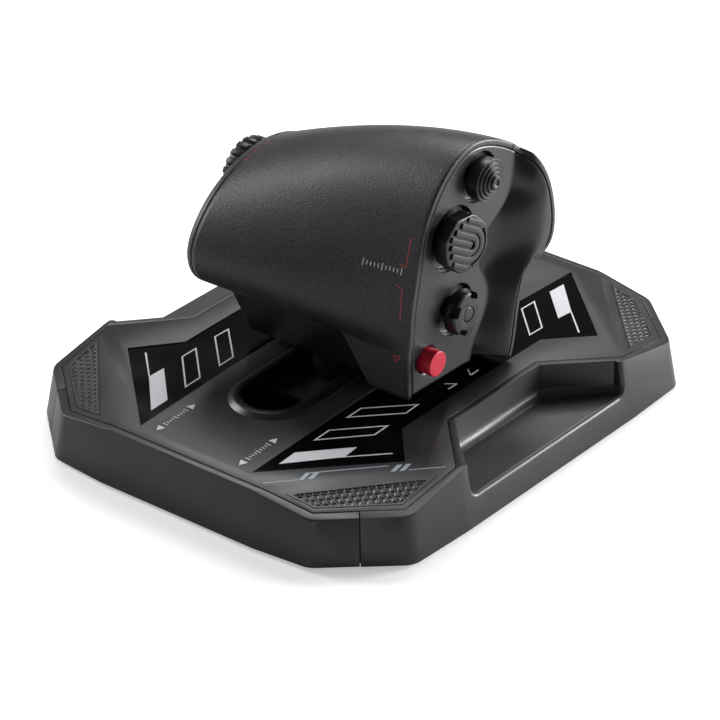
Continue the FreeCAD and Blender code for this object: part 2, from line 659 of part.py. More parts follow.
def build_boards():
    board = new_body("main_board")
    sk = new_sketch(board, "outline")
    rectangle(sk, "0", "0", "Dims.mb_half_x", "Dims.mb_half_y")
    pad(board, sk, "Dims.board_thick")
    for sy in ("", "-"):
        chip = new_sketch(board, "chip" + ("_a" if sy else "_b"), lift="Dims.board_thick")
        rectangle(chip, "0", sy + "Dims.mb_half_y / 2", "Dims.mb_half_x / 2", "Dims.mb_half_x / 2")
        pad(board, chip, "Dims.board_thick")
    legs = new_sketch(board, "legs")
    for sx in ("", "-"):
        for sy in ("", "-"):
            circle(legs, sx + "(Dims.mb_half_x - 3)", sy + "(Dims.mb_half_y - 3)", "Dims.screw_r + 0.5")
    pad(board, legs, "Dims.mb_lift", down=True)
    place(board, "-Dims.mb_x", "Dims.mb_y", "%s + Dims.mb_lift" % PAN_TOP)

    socket = new_body("usb_socket")
    sk = new_sketch(socket, "shell", "XZ")
    rectangle(sk, "0", "0", "Dims.usb_half_x - 0.1", "Dims.usb_height / 2 - 0.1")
    pad(socket, sk, "Dims.usb_deep")
    mouth = new_sketch(socket, "mouth", "XZ")
    rectangle(mouth, "0", "0", "Dims.usb_half_x - 0.5", "Dims.usb_height / 2 - 0.5")
    pocket(socket, mouth, "Dims.usb_deep * 0.75", up=True)
    stand = new_sketch(socket, "stand", "XZ", "Dims.usb_deep * 0.75")
    rectangle(stand, "0", "(%s - Dims.usb_z) / 2" % PAN_TOP, "Dims.usb_half_x - 0.1",
              "(Dims.usb_z - %s) / 2" % PAN_TOP)
    pad(socket, stand, "Dims.usb_deep / 4")
    place(socket, "0", "Dims.end_y + Dims.rim_width + Dims.skirt_flare * 0.6", "Dims.usb_z")


build_rods()
build_carriage()
build_boards()


# ---------------------------------------------------------------- grip: sections across the hand
def rise(x):
    """How far a section has grown from the far end (0) to the thumb end (1)."""
    t = (x - size("grip_left")) / (size("grip_right") - size("grip_left"))
    return min(max(t, 0.0), 1.0)


def under_z(y):
    """Height of the head's flat underside."""
    return size("under_rear_z") + size("under_slope") * (y - size("under_rear_y"))


# head outline from the rear lip over the top to the notch, at the far end and the thumb end
FAR_END = [(-50.0, 64.0), (-53.2, 75.5), (-48.2, 87.0), (-38.5, 96.8), (-24.0, 104.8),
           (-5.0, 109.3), (14.0, 106.5), (29.0, 98.0), (38.0, 86.0), (37.5, 74.0)]
THUMB_END = [(-38.4, 61.0), (-37.0, 75.0), (-34.0, 90.0), (-28.7, 110.0), (-17.3, 127.0),
             (0.0, 136.0), (20.0, 131.8), (42.0, 115.5), (52.2, 93.5), (50.2, 74.0)]
NOTCH = [(28.0, 1.0), (36.0, 1.0)]
REAR_POINTS = 3


def head_points(x, inset=0.0):
    """Outline points of the head at x: lip, rear, crest, nose and notch."""
    t = rise(x)
    full = 1.0 - (1.0 - t) ** 1.6
    slow = t ** 1.3
    pts = [(size("under_rear_y"), size("under_rear_z"))]
    for i, (far, near) in enumerate(zip(FAR_END, THUMB_END)):
        grow = slow if i < REAR_POINTS else full
        pts.append((far[0] + (near[0] - far[0]) * grow, far[1] + (near[1] - far[1]) * grow))
    notch_y = NOTCH[0][0] + (NOTCH[1][0] - NOTCH[0][0]) * full
    pts.append((notch_y, under_z(notch_y)))
    if inset:
        pts = inset_points(pts, inset)
    return pts


def inset_points(pts, amount):
    """Move each point inward, square to the line through its neighbours."""
    moved = []
    count = len(pts)
    for i in range(count):
        (y0, z0), (y1, z1) = pts[i - 1], pts[(i + 1) % count]
        ty, tz = y1 - y0, z1 - z0
        length = math.hypot(ty, tz)
        moved.append((pts[i][0] + amount * tz / length, pts[i][1] - amount * ty / length))
    return moved


def head_wire(x, inset=0.0):
    pts = [V(x, y, z) for y, z in head_points(x, inset)]
    curve = Part.BSplineCurve()
    curve.interpolate(pts)
    return Part.Wire([curve.toShape(), Part.LineSegment(pts[-1], pts[0]).toShape()])


def head_solid(x0, x1, inset=0.0, steps=6):
    stations = [x0 + (x1 - x0) * i / steps for i in range(steps + 1)]
    return Part.makeLoft([head_wire(x, inset) for x in stations], True, False)


def side_prism(points, x0, x1):
    """A block with a given outline in the side view, between two x."""
    pts = [V(x0, y, z) for y, z in points]
    return Part.Face(Part.makePolygon(pts + [pts[0]])).extrude(V(x1 - x0, 0, 0))


def leg_front():
    """Front line of the leg under the nose, from the notch to the foot."""
    return [(34.9, 68.9), (31.9, 63.7), (28.9, 52.5), (26.9, 40.0), (24.5, size("leg_low"))]


def panel_outline(grow=0.0):
    """Thumb panel outline: the thumb end's head and leg, set in by the panel's inset."""
    inset = size("panel_inset") - grow
    low = size("apron_low") + 0.6 - grow
    head = head_points(size("grip_right"), inset)[1:-1]
    leg = [(y - inset, z) for y, z in leg_front()]
    leg[-1] = (leg[-1][0], size("leg_low") + 0.6 - grow)
    rear = [(-38.6 + inset, low), (-38.5 + inset, 50.0)]
    return rear + head + leg + [(RIDGE[0][1], low - 0.8)]


def panel_prism(grow, x0, x1):
    pts = [V(x0, y, z) for y, z in panel_outline(grow)]
    curve = Part.BSplineCurve()
    curve.interpolate(pts[1:-5])
    edges = [Part.LineSegment(pts[0], pts[1]).toShape(), curve.toShape()]
    edges += [Part.LineSegment(pts[i], pts[i + 1]).toShape() for i in range(len(pts) - 6, len(pts) - 1)]
    edges.append(Part.LineSegment(pts[-1], pts[0]).toShape())
    return Part.Face(Part.Wire(edges)).extrude(V(x1 - x0, 0, 0))


def smooth(t):
    t = min(max(t, 0.0), 1.0)
    return t * t * (3 - 2 * t)


# crest line of the panel's ridge, and the panel's front edge: y at heights z
RIDGE = [(30.0, 3.0), (42.0, 3.4), (57.0, 12.4), (69.0, 13.4), (80.0, 8.5), (90.0, 10.0),
         (103.0, 26.0), (115.0, 30.0), (142.0, 30.0)]
FRONT = [(30.0, 24.5), (52.0, 28.5), (64.0, 32.0), (78.0, 49.0), (94.0, 52.0), (114.0, 43.0), (128.0, 32.0)]


def along(line, z):
    """y on a line of (z, y) points, eased between them."""
    for (z0, y0), (z1, y1) in zip(line, line[1:]):
        if z <= z1:
            return y0 + (y1 - y0) * smooth((z - z0) / (z1 - z0))
    return line[-1][1]


def hat_wells():
    return [(size("top_y"), size("top_z"), size("top_r")), (size("mid_y"), size("mid_z"), size("mid_r")),
            (size("low_y"), size("low_z"), size("low_r"))]


def panel_x(y, z):
    """Outer face of the thumb panel: a flat field, then the valley and the finger bulge past the ridge."""
    beyond = y - along(RIDGE, z)
    if beyond <= 0:
        return size("grip_right")
    span = max(along(FRONT, z) - along(RIDGE, z), 8.0)
    t = beyond / span
    valley = 0.5 - 0.5 * math.cos(2 * math.pi * min(t / 0.85, 1.0))
    depth = size("valley_depth") * min(span / 25.0, 1.0)
    return size("grip_right") - depth * valley + size("bulge_rise") * smooth((t - 0.4) / 0.6)


def build_thumb_panel():
    low_y, high_y, low_z, high_z, step = -46.0, 58.0, 28.0, 142.0, 2.0
    ys = [low_y + step * i for i in range(int((high_y - low_y) / step) + 1)]
    zs = [low_z + step * i for i in range(int((high_z - low_z) / step) + 1)]
    grid = [[V(panel_x(y, z), y, z) for z in zs] for y in ys]
    surface = Part.BSplineSurface()
    surface.interpolate(grid)
    face, thick = size("grip_right"), size("panel_thick")
    slab = surface.toShape().extrude(V(-thick, 0, 0))
    panel = panel_prism(0.0, 30.0, 75.0).common(slab)
    deep, margin = size("well_depth"), size("well_margin")
    for y, z, r in hat_wells():
        well = Part.makeCone(r + margin, r + 3 * margin, 2 * deep, V(face - deep, y, z), V(1, 0, 0))
        panel = panel.cut(well)
        hole = Part.makeCylinder(size("stem_r") + size("stem_clear"), 40, V(40, y, z), V(1, 0, 0))
        floor = V(face - deep - thick / 2, y, z)
        cup = Part.makeCylinder(r + margin + thick / 2, deep + thick / 4, floor, V(1, 0, 0))
        cup = cup.common(panel_prism(-thick / 4, 30.0, 75.0))
        panel = panel.fuse(cup.cut(well).cut(hole))
    bore_at = V(40, size("red_y"), size("red_z"))
    bore = Part.makeCylinder(size("red_r") + size("panel_gap"), 40, bore_at, V(1, 0, 0))
    panel = panel.cut(bore)
    feature("thumb_panel", panel)


def under_leg():
    """The space under the leg: it hangs lower at the thumb end than over the slot's collar."""
    left, low, high = size("hull_low_left") - 10, size("leg_low"), size("hull_low")
    corners = [V(left, -BIG / 2, low - 10), V(size("apron_to"), -BIG / 2, low - 10),
               V(size("apron_to"), -BIG / 2, low), V(size("apron_from"), -BIG / 2, high),
               V(left, -BIG / 2, high)]
    return Part.Face(ring_at(corners)).extrude(V(0, BIG, 0))


def build_shells():
    left, right, wall = size("grip_left"), size("grip_right"), size("shell_wall")
    seam, gap = size("seam_front_y"), size("panel_gap")
    outer = head_solid(left, right)
    inner = head_solid(left - 2, right + 2, wall)
    tube = outer.cut(inner)
    y0, y1 = size("hull_rear"), seam + 2
    z0, z1 = under_z(y0), under_z(seam)
    drop, lift = 12.0, wall + 1.2
    mouth = side_prism([(y0, z0 - drop), (y1, z1 - drop), (y1, z1 + lift), (y0, z0 + lift)], left, right)
    tube = tube.cut(mouth).cut(panel_prism(gap, right - 14, right + 30))
    rear_half = Part.makeBox(BIG, BIG, BIG, V(-BIG / 2, seam - gap / 2 - BIG, -BIG / 2))
    front_half = Part.makeBox(BIG, BIG, BIG, V(-BIG / 2, seam + gap / 2, -BIG / 2))

    apron_face = Part.makePolygon([V(size("apron_from"), 0, size("under_rear_z") + 1),
                                   V(size("apron_to"), 0, size("apron_low")),
                                   V(right, 0, size("apron_low")),
                                   V(right, 0, size("under_rear_z") + 1),
                                   V(size("apron_from"), 0, size("under_rear_z") + 1)])
    apron = Part.Face(apron_face).extrude(V(0, wall, 0))
    apron.translate(V(0, size("under_rear_y") + 0.05, 0))
    palm = tube.common(rear_half)
    palm = palm.fuse(apron).cut(panel_prism(gap, right - 14, right + 30))
    palm = max(palm.removeSplitter().Solids, key=lambda s: s.Volume)
    feature("palm_shell", palm)

    front = leg_front()
    strip = front + [(y - wall, z) for y, z in reversed(front)]
    leg = side_prism(strip, size("hull_low_left"), right)
    leg = leg.cut(under_leg())
    finger = tube.common(front_half).fuse(leg.cut(panel_prism(gap, right - 14, right + 30)))
    finger = max(finger.removeSplitter().Solids, key=lambda s: s.Volume)
    feature("finger_shell", finger)


def hull_block(inset):
    """The tapered lower hull, moved in by inset on its sides."""
    low = size("hull_low")
    left0, left1 = size("hull_low_left") + inset, size("hull_left") + inset
    right = size("hull_right") - inset
    rear0, rear1 = size("hull_low_rear") + inset, size("hull_rear") + inset + 0.1
    front0, front1 = size("hull_low_front") - inset, size("hull_front") - inset
    a = Part.makePolygon([V(left0, rear0, low), V(right, rear0, low), V(right, front0, low),
                          V(left0, front0, low), V(left0, rear0, low)])
    b = Part.makePolygon([V(left1, rear1, under_z(rear1)), V(right, rear1, under_z(rear1)),
                          V(right, front1, under_z(front1)), V(left1, front1, under_z(front1)),
                          V(left1, rear1, under_z(rear1))])
    return Part.makeLoft([a, b], True, True)


def build_hull():
    wall = size("hull_wall")
    outer = hull_block(0.0)
    floor_top = size("hull_low") + wall
    inner = hull_block(wall).common(Part.makeBox(BIG, BIG, BIG, V(-BIG / 2, -BIG / 2, floor_top)))
    hull = outer.cut(inner)
    rib_thick, half = size("rib_thick"), size("switch_half")
    rib = Part.makeBox(rib_thick, 2 * half, size("low_z") - floor_top + half,
                       V(size("gboard_x") - rib_thick, -2 * half, floor_top - wall / 2))
    window = Part.makeBox(3 * wall, 2 * half + 2 * wall, BIG,
                          V(size("hull_right") - 2 * wall, size("low_y") - half - wall,
                            size("low_z") - half - wall / 2))
    hull = hull.fuse(rib).cut(window).removeSplitter()
    feature("grip_hull", hull)


def build_end_cap():
    left, wall, depth = size("grip_left"), size("shell_wall"), size("cap_round")

    def wire(x, inset):
        return head_wire(left, inset).translated(V(x - left, 0, 0))

    outer = Part.makeLoft([wire(left, 0.0), wire(left - depth * 0.45, 0.5), wire(left - depth * 0.8, 1.7),
                           wire(left - depth, 4.0)], True, False)
    hollow = Part.makeLoft([wire(left, wall), wire(left - depth + wall, wall + 2.4)], True, True)
    cap = outer.cut(hollow)
    start = V(left + depth, size("knob_y"), size("knob_z"))
    bore = Part.makeCylinder(size("shaft_r") + size("shaft_fit"), 6 * depth, start, V(-1, 0, 0))
    feature("end_cap", cap.cut(bore))


build_thumb_panel()
build_shells()
build_hull()
build_end_cap()


# ---------------------------------------------------------------- grip: electronics
def build_grip_inside():
    board = new_body("grip_board")
    sk = new_sketch(board, "outline", "YZ")
    polygon(sk, [("Dims.mid_y - 12", "Dims.low_z - 8"), ("Dims.top_y + 9", "Dims.low_z - 8"),
                 ("Dims.top_y + 9", "Dims.top_z + 3"), ("Dims.top_y - 9", "Dims.top_z + 3"),
                 ("Dims.mid_y - 12", "Dims.mid_z + 6")])
    pad(board, sk, "Dims.board_thick")
    place(board, "Dims.gboard_x")

    for name in ("top", "mid", "low"):
        node = {"top": "top_hat_switch", "mid": "middle_hat_switch", "low": "lower_hat_switch"}[name]
        body = new_body(node)
        sk = new_sketch(body, "case")
        rectangle(sk, "0", "0", "Dims.switch_half", "Dims.switch_half")
        pad(body, sk, "Dims.switch_face - Dims.gboard_x - Dims.board_thick")
        post = new_sketch(body, "ball_post", lift="Dims.switch_face - Dims.gboard_x - Dims.board_thick")
        circle(post, "0", "0", "Dims.gimbal_bore - 1.1")
        pad(body, post, "Dims.pivot_x - Dims.gimbal_half - Dims.post_gap - Dims.switch_face")
        place(body, "Dims.gboard_x + Dims.board_thick", "Dims.%s_y" % name, "Dims.%s_z" % name, TO_THUMB)

    body = new_body("red_button_switch")
    sk = new_sketch(body, "case")
    rectangle(sk, "0", "0", "Dims.switch_half / 2 + 1", "Dims.switch_half / 2 + 1")
    pad(body, sk, "Dims.grip_right - 5 - Dims.red_stroke - 0.4 - Dims.hull_right")
    place(body, "Dims.hull_right", "Dims.red_y", "Dims.red_z", TO_THUMB)

    body = new_body("knob_encoder")
    sk = new_sketch(body, "case")
    rectangle(sk, "0", "0", "Dims.switch_half", "Dims.switch_half")
    pad(body, sk, "Dims.switch_half")
    bore = new_sketch(body, "bore")
    circle(bore, "0", "0", "Dims.shaft_r + Dims.shaft_fit")
    pocket(body, bore, "Dims.switch_half", up=True)
    place(body, "Dims.grip_left - Dims.cap_round + Dims.shell_wall + Dims.switch_half", "Dims.knob_y",
          "Dims.knob_z", TO_FAR)


# ---------------------------------------------------------------- grip: moving controls
def build_hats():
    for name, node in (("top", "top_hat"), ("mid", "middle_hat"), ("low", "lower_hat")):
        gimbal = new_body(node + "_gimbal")
        sk = new_sketch(gimbal, "ring")
        circle(sk, "0", "0", "Dims.gimbal_r")
        circle(sk, "0", "0", "Dims.gimbal_bore")
        pad(gimbal, sk, "2 * Dims.gimbal_half")
        place(gimbal, "Dims.pivot_x - Dims.gimbal_half", "Dims.%s_y" % name, "Dims.%s_z" % name, TO_THUMB)

        cap = new_body(node)
        stem = new_sketch(cap, "stem", lift="-(Dims.cap_under - Dims.pivot_x + Dims.gimbal_half)")
        circle(stem, "0", "0", "Dims.stem_r")
        pad(cap, stem, "Dims.cap_under - Dims.pivot_x + Dims.gimbal_half + 0.5")
        r, thick = "Dims.%s_r" % name, "Dims.%s_cap" % name
        turned = new_sketch(cap, "profile", "XZ")
        if name == "low":
            polygon(turned, [("0", "0"), (r + " - 0.8", "0"), (r, "0.8"), (r, thick + " - 0.8"),
                             (r + " - 0.8", thick), ("0", thick)])
        elif name == "top":
            steps = [("0", "0"), (r, "0"), (r, thick + " - 3.2")]
            for i in range(1, 5):
                steps += [("%s * %.2f" % (r, 1 - 0.17 * i), "%s - %.2f" % (thick, 3.2 - 0.8 * (i - 1))),
                          ("%s * %.2f" % (r, 1 - 0.17 * i), "%s - %.2f" % (thick, 3.2 - 0.8 * i))]
            steps.append(("0", thick))
            polygon(turned, steps)
        else:
            polygon(turned, [("0", "0"), (r + " - 1.2", "0"), (r, "1.2"), (r, thick + " - 1.4"),
                             (r + " - 1.4", thick), ("0", thick)])
        revolve(cap, turned)
        if name == "low":
            well = new_sketch(cap, "well", lift=thick)
            circle(well, "0", "0", "Dims.centre_r + Dims.centre_fit")
            pocket(cap, well, thick + " - 1.2")
            notches = new_sketch(cap, "notches", lift=thick)
            for cx, cy in (("1", "0"), ("-1", "0"), ("0", "1"), ("0", "-1")):
                rectangle(notches, "(%s) * (Dims.low_r)" % cx, "(%s) * (Dims.low_r)" % cy,
                          "Dims.low_r * 0.26" if cx == "0" else "Dims.low_r * 0.3",
                          "Dims.low_r * 0.26" if cy == "0" else "Dims.low_r * 0.3")
            pocket(cap, notches, thick + " * 0.6")
        if name == "mid":
            grooves = new_sketch(cap, "grooves", lift=thick)
            for i in (-2, -1, 0, 1, 2):
                rectangle(grooves, "%d * Dims.mid_r * 0.32" % i if i else "0", "0", "Dims.mid_r * 0.05",
                          "Dims.mid_r * %.2f" % (0.78 - 0.1 * abs(i)))
            pocket(cap, grooves, "1.0")
        place(cap, "Dims.cap_under", "Dims.%s_y" % name, "Dims.%s_z" % name, TO_THUMB)

    button = new_body("centre_button")
    sk = new_sketch(button, "disc")
    circle(sk, "0", "0", "Dims.centre_r")
    pad(button, sk, "Dims.low_cap - 1.2 - Dims.centre_stroke - 0.2")
    place(button, "Dims.cap_under + 1.2 + Dims.centre_stroke + 0.3", "Dims.low_y", "Dims.low_z", TO_THUMB)

    red = new_body("red_button")
    sk = new_sketch(red, "profile", "XZ")
    polygon(sk, [("0", "0"), ("Dims.red_r", "0"), ("Dims.red_r", "5 + Dims.red_rise - 0.6"),
                 ("Dims.red_r - 0.6", "5 + Dims.red_rise"), ("0", "5 + Dims.red_rise")])
    revolve(red, sk)
    place(red, "Dims.grip_right - 5", "Dims.red_y", "Dims.red_z", TO_THUMB)


def build_knob():
    """Ridged wheel: a disc with teeth cut round its rim, on its own shaft."""
    body = new_body("rotary_knob")
    sk = new_sketch(body, "disc")
    circle(sk, "0", "0", "Dims.knob_r")
    disc = pad(body, sk, "Dims.knob_wide")
    shaft = new_sketch(body, "shaft")
    circle(shaft, "0", "0", "Dims.shaft_r")
    pad(body, shaft, "Dims.knob_gap + Dims.cap_round + Dims.switch_half / 2", down=True)
    groove = new_sketch(body, "groove")
    circle(groove, "Dims.knob_r + Dims.tooth_deep * 0.2", "0", "Dims.tooth_deep")
    cut = pocket(body, groove, "Dims.knob_wide", up=True)
    pattern = body.newObject("PartDesign::PolarPattern", "rotary_knob_teeth")
    pattern.Originals = [cut]
    pattern.Axis = (groove, ["N_Axis"])
    pattern.Angle = 360
    pattern.Occurrences = int(size("knob_teeth"))
    bind(pattern, "Occurrences", "Dims.knob_teeth")
    body.Tip = pattern
    place(body, "Dims.grip_left - Dims.cap_round - Dims.knob_gap", "Dims.knob_y", "Dims.knob_z", TO_FAR)


build_grip_inside()
build_hats()
build_knob()

# ---------------------------------------------------------------- checks and export
doc.recompute()
for obj in doc.Objects:
    if "Invalid" in obj.State or "Error" in obj.State:
        raise RuntimeError("%s failed: %s" % (obj.Name, obj.State))
for node, obj in nodes.items():
    if obj.Shape.isNull() or not obj.Shape.isValid() or not obj.Shape.Solids:
        raise RuntimeError("%s has no valid solid" % node)

os.makedirs("parts", exist_ok=True)
for node, obj in nodes.items():
    obj.Shape.exportStep("parts/%s.step" % node)
print("%d nodes written" % len(nodes))
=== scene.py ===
"""Finished look of a desk throttle quadrant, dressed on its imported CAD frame.

The grip's mouldings, the knurled pads, the slot's collar, the thumb controls and the ridged wheel are
modelled here as smooth surfaces; the base's mouldings are softened copies of their CAD solids.
Lengths in this file are millimetres until they are put into a mesh, which is in metres.
"""
import json
import logging
import math
from contextlib import contextmanager
from dataclasses import dataclass
from enum import Enum
from typing import Callable, Iterable, Iterator, Sequence

import bmesh
import bpy
import numpy as np
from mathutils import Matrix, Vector
from mathutils.geometry import delaunay_2d_cdt


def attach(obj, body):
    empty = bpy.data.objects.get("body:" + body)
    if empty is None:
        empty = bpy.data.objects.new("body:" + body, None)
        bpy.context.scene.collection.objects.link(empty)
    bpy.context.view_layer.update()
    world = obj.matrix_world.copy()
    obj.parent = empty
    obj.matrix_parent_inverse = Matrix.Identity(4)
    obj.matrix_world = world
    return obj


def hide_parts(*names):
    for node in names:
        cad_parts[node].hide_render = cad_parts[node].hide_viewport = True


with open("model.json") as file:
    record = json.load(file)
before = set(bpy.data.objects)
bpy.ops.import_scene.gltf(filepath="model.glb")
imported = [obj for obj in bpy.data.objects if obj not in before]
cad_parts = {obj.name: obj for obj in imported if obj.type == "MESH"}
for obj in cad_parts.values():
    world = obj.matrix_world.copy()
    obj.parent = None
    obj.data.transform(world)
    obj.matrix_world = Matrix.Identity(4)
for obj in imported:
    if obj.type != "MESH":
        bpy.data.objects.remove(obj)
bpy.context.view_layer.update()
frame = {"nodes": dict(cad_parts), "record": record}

log = logging.getLogger("throttle_quadrant")
MM = 0.001
Array = np.ndarray
Pair = tuple[float, float]


# ---------------------------------------------------------------- meshes
def linked(name: str, data: bpy.types.ID) -> bpy.types.Object:
    """A new object in the scene that carries the given data."""
    obj = bpy.data.objects.new(name, data)
    bpy.context.scene.collection.objects.link(obj)
    return obj


@contextmanager
def edited(mesh: bpy.types.Mesh) -> Iterator[bmesh.types.BMesh]:
    """Open a mesh for editing, and write it back when the block ends."""
    bm = bmesh.new()
    bm.from_mesh(mesh)
    yield bm
    bm.to_mesh(mesh)
    bm.free()


def as_mesh(name: str, points: Array, faces: Sequence[Sequence[int]], smooth: bool = True
            ) -> bpy.types.Object:
    """Put points and faces into a new mesh object.

    Args:
        name: the object's name.
        points: corner points in millimetres, one per row.
        faces: corner numbers of each face.
        smooth: whether the faces are shaded smooth.
    Returns:
        The new object, at the origin.
    """
    mesh = bpy.data.meshes.new(name)
    mesh.from_pydata((np.asarray(points, float) * MM).tolist(), [], [list(map(int, f)) for f in faces])
    mesh.validate()
    mesh.polygons.foreach_set("use_smooth", [smooth] * len(mesh.polygons))
    return linked(name, mesh)


def grid_faces(rows: int, cols: int, wrap_rows: bool = False, wrap_cols: bool = False) -> Array:
    """Quads of a grid numbered row by row.

    Args:
        rows: how many rows of points.
        cols: how many points in a row.
        wrap_rows: whether the last row joins the first.
        wrap_cols: whether the last column joins the first.
    Returns:
        One row of four corner numbers per quad.
    """
    r = np.arange(rows if wrap_rows else rows - 1)
    c = np.arange(cols if wrap_cols else cols - 1)
    r, c = np.meshgrid(r, c, indexing="ij")
    r1, c1 = (r + 1) % rows, (c + 1) % cols
    quads = np.stack([r * cols + c, r * cols + c1, r1 * cols + c1, r1 * cols + c], axis=-1)
    return quads.reshape(-1, 4)


def recalculated(obj: bpy.types.Object, merge: float = 1e-6) -> bpy.types.Object:
    """Merge doubled points and turn every face outwards."""
    with edited(obj.data) as bm:
        bmesh.ops.remove_doubles(bm, verts=bm.verts, dist=merge)
        bmesh.ops.dissolve_degenerate(bm, edges=bm.edges, dist=merge / 10)
        bmesh.ops.recalc_face_normals(bm, faces=bm.faces)
    return obj


def join(name: str, parts: Iterable[bpy.types.Object]) -> bpy.types.Object:
    """Join mesh objects into one object with the given name."""
    bm = bmesh.new()
    for part in list(parts):
        bm.from_mesh(part.data)
        bpy.data.objects.remove(part)
    mesh = bpy.data.meshes.new(name)
    bm.to_mesh(mesh)
    bm.free()
    return linked(name, mesh)


def sharpen(obj: bpy.types.Object, degrees: float = 35.0) -> bpy.types.Object:
    """Shade smooth, with edges sharper than the angle kept crisp."""
    limit = math.radians(degrees)
    with edited(obj.data) as bm:
        for edge in bm.edges:
            edge.smooth = len(edge.link_faces) == 2 and edge.calc_face_angle(0.0) < limit
        for face in bm.faces:
            face.smooth = True
    return obj


def round_edges(obj: bpy.types.Object, width: float, degrees: float) -> bpy.types.Object:
    """Round the sharp edges of a solid with a bevel of the given width in millimetres."""
    bevel = obj.modifiers.new("rounded edges", "BEVEL")
    bevel.width = width * MM
    bevel.segments = 3
    bevel.limit_method = "ANGLE"
    bevel.angle_limit = math.radians(degrees)
    bevel.harden_normals = True
    bevel.use_clamp_overlap = True
    return obj


def softened_copy(node: str, name: str, width: float, degrees: float) -> bpy.types.Object:
    """A copy of a CAD node's mesh with its flat faces made whole and its edges rounded.

    Args:
        node: the CAD node to copy.
        name: the new object's name.
        width: the rounding's width in millimetres.
        degrees: edges sharper than this are rounded.
    Returns:
        The new object.
    """
    mesh = frame["nodes"][node].data.copy()
    mesh.name = name
    obj = linked(name, mesh)
    with edited(mesh) as bm:
        bmesh.ops.remove_doubles(bm, verts=bm.verts, dist=2e-6)
        bmesh.ops.dissolve_limit(bm, angle_limit=math.radians(1.2), verts=bm.verts, edges=bm.edges)
        for face in bm.faces:
            face.smooth = True
    return round_edges(obj, width, degrees)


# ---------------------------------------------------------------- colours and material nodes
def linear(code: str) -> tuple[float, float, float, float]:
    """Turn an sRGB hex colour into Blender's linear colour with full alpha."""
    parts = [int(code[i:i + 2], 16) / 255 for i in (1, 3, 5)]
    low = [p / 12.92 if p <= 0.04045 else ((p + 0.055) / 1.055) ** 2.4 for p in parts]
    return (low[0], low[1], low[2], 1.0)


def shaded(colour: Array, factor: float) -> tuple[float, ...]:
    """A linear colour made lighter or darker by a factor, with full alpha."""
    return (*(colour[:3] * factor), 1.0)


def blank(name: str) -> tuple[bpy.types.Material, bpy.types.NodeTree]:
    """A new material and its emptied node tree."""
    mat = bpy.data.materials.new(name)
    mat.use_nodes = True
    mat.node_tree.nodes.clear()
    return mat, mat.node_tree


def add(tree: bpy.types.NodeTree, kind: str, settings: dict | None = None, links: dict | None = None,
        stops: Sequence[tuple] = ()) -> bpy.types.Node:
    """Add one shader node.

    Args:
        tree: the material's node tree.
        kind: the node's Blender type name.
        settings: node properties by name, or input socket values by socket name or number.
        links: output sockets to link into inputs, by input name or number.
        stops: place and colour of each of the two elements, where the node has a colour ramp.
    Returns:
        The new node.
    """
    node = tree.nodes.new(kind)
    for key, value in (settings or {}).items():
        if isinstance(key, str) and hasattr(node, key):
            setattr(node, key, value)
        else:
            node.inputs[key].default_value = value
    for key, source in (links or {}).items():
        tree.links.new(source, node.inputs[key])
    for i, (position, colour) in enumerate(stops):
        node.color_ramp.elements[i].position = position
        node.color_ramp.elements[i].color = colour
    return node


@dataclass(frozen=True)
class MouldedPlastic:
    """Injection-moulded ABS: a satin skin with a fine eroded grain and slow tone changes."""

    name: str
    colour: str
    roughness: float
    grain_mm: float = 0.35
    grain_depth_mm: float = 0.02
    # strength of the light and dark flecks painted into the colour as glints of the grain (painted glints)
    painted_glint: float = 0.0
    mottle: float = 0.06
    specular: float = 0.5

    def build(self) -> bpy.types.Material:
        """Build the node material.

        Returns:
            The material: base colour mottled by slow noise and, where painted glints are asked for,
            flecked lighter and darker by fine noise as painted glints of the grain, and the same
            fine noise raised as bump, its pitch set from the grain size in millimetres.
        """
        mat, tree = blank(self.name)
        place = add(tree, "ShaderNodeTexCoord").outputs["Object"]
        fine = add(tree, "ShaderNodeTexNoise", {"Scale": 1 / (self.grain_mm * MM), "Detail": 2.0,
                                                "Roughness": 0.6}, {"Vector": place})
        slow = add(tree, "ShaderNodeTexNoise", {"Scale": 45.0, "Detail": 3.0}, {"Vector": place})
        base = np.array(linear(self.colour))
        tone = add(tree, "ShaderNodeValToRGB", links={0: slow.outputs[0]},
                   stops=[(0.3, shaded(base, 1 - self.mottle)), (0.7, shaded(base, 1 + self.mottle))]
                   ).outputs["Color"]
        # painted glints: light and dark flecks from the fine noise, put into the base colour, stand in for
        # the glints of the grain's rough skin
        if self.painted_glint:
            painted_glint_flecks = add(tree, "ShaderNodeValToRGB", links={0: fine.outputs[0]},
                       stops=[(0.36, shaded(base, 1 - self.painted_glint * 0.55)),
                              (0.64, shaded(base, 1 + self.painted_glint))]).outputs["Color"]
            tone = add(tree, "ShaderNodeMix", {"data_type": "RGBA", "blend_type": "MIX", 0: 0.5},
                       {6: tone, 7: painted_glint_flecks}).outputs[2]
        rough = add(tree, "ShaderNodeMapRange", {"From Min": 0.3, "From Max": 0.7,
                                                 "To Min": self.roughness - 0.04,
                                                 "To Max": self.roughness + 0.05},
                    {"Value": slow.outputs[0]})
        bump = add(tree, "ShaderNodeBump", {"Strength": 0.6, "Distance": self.grain_depth_mm * MM},
                   {"Height": fine.outputs[0]})
        shader = add(tree, "ShaderNodeBsdfPrincipled",
                     {"IOR": 1.54, "Specular IOR Level": self.specular},
                     {"Base Color": tone, "Roughness": rough.outputs[0], "Normal": bump.outputs[0]})
        add(tree, "ShaderNodeOutputMaterial", links={"Surface": shader.outputs[0]})
        return mat


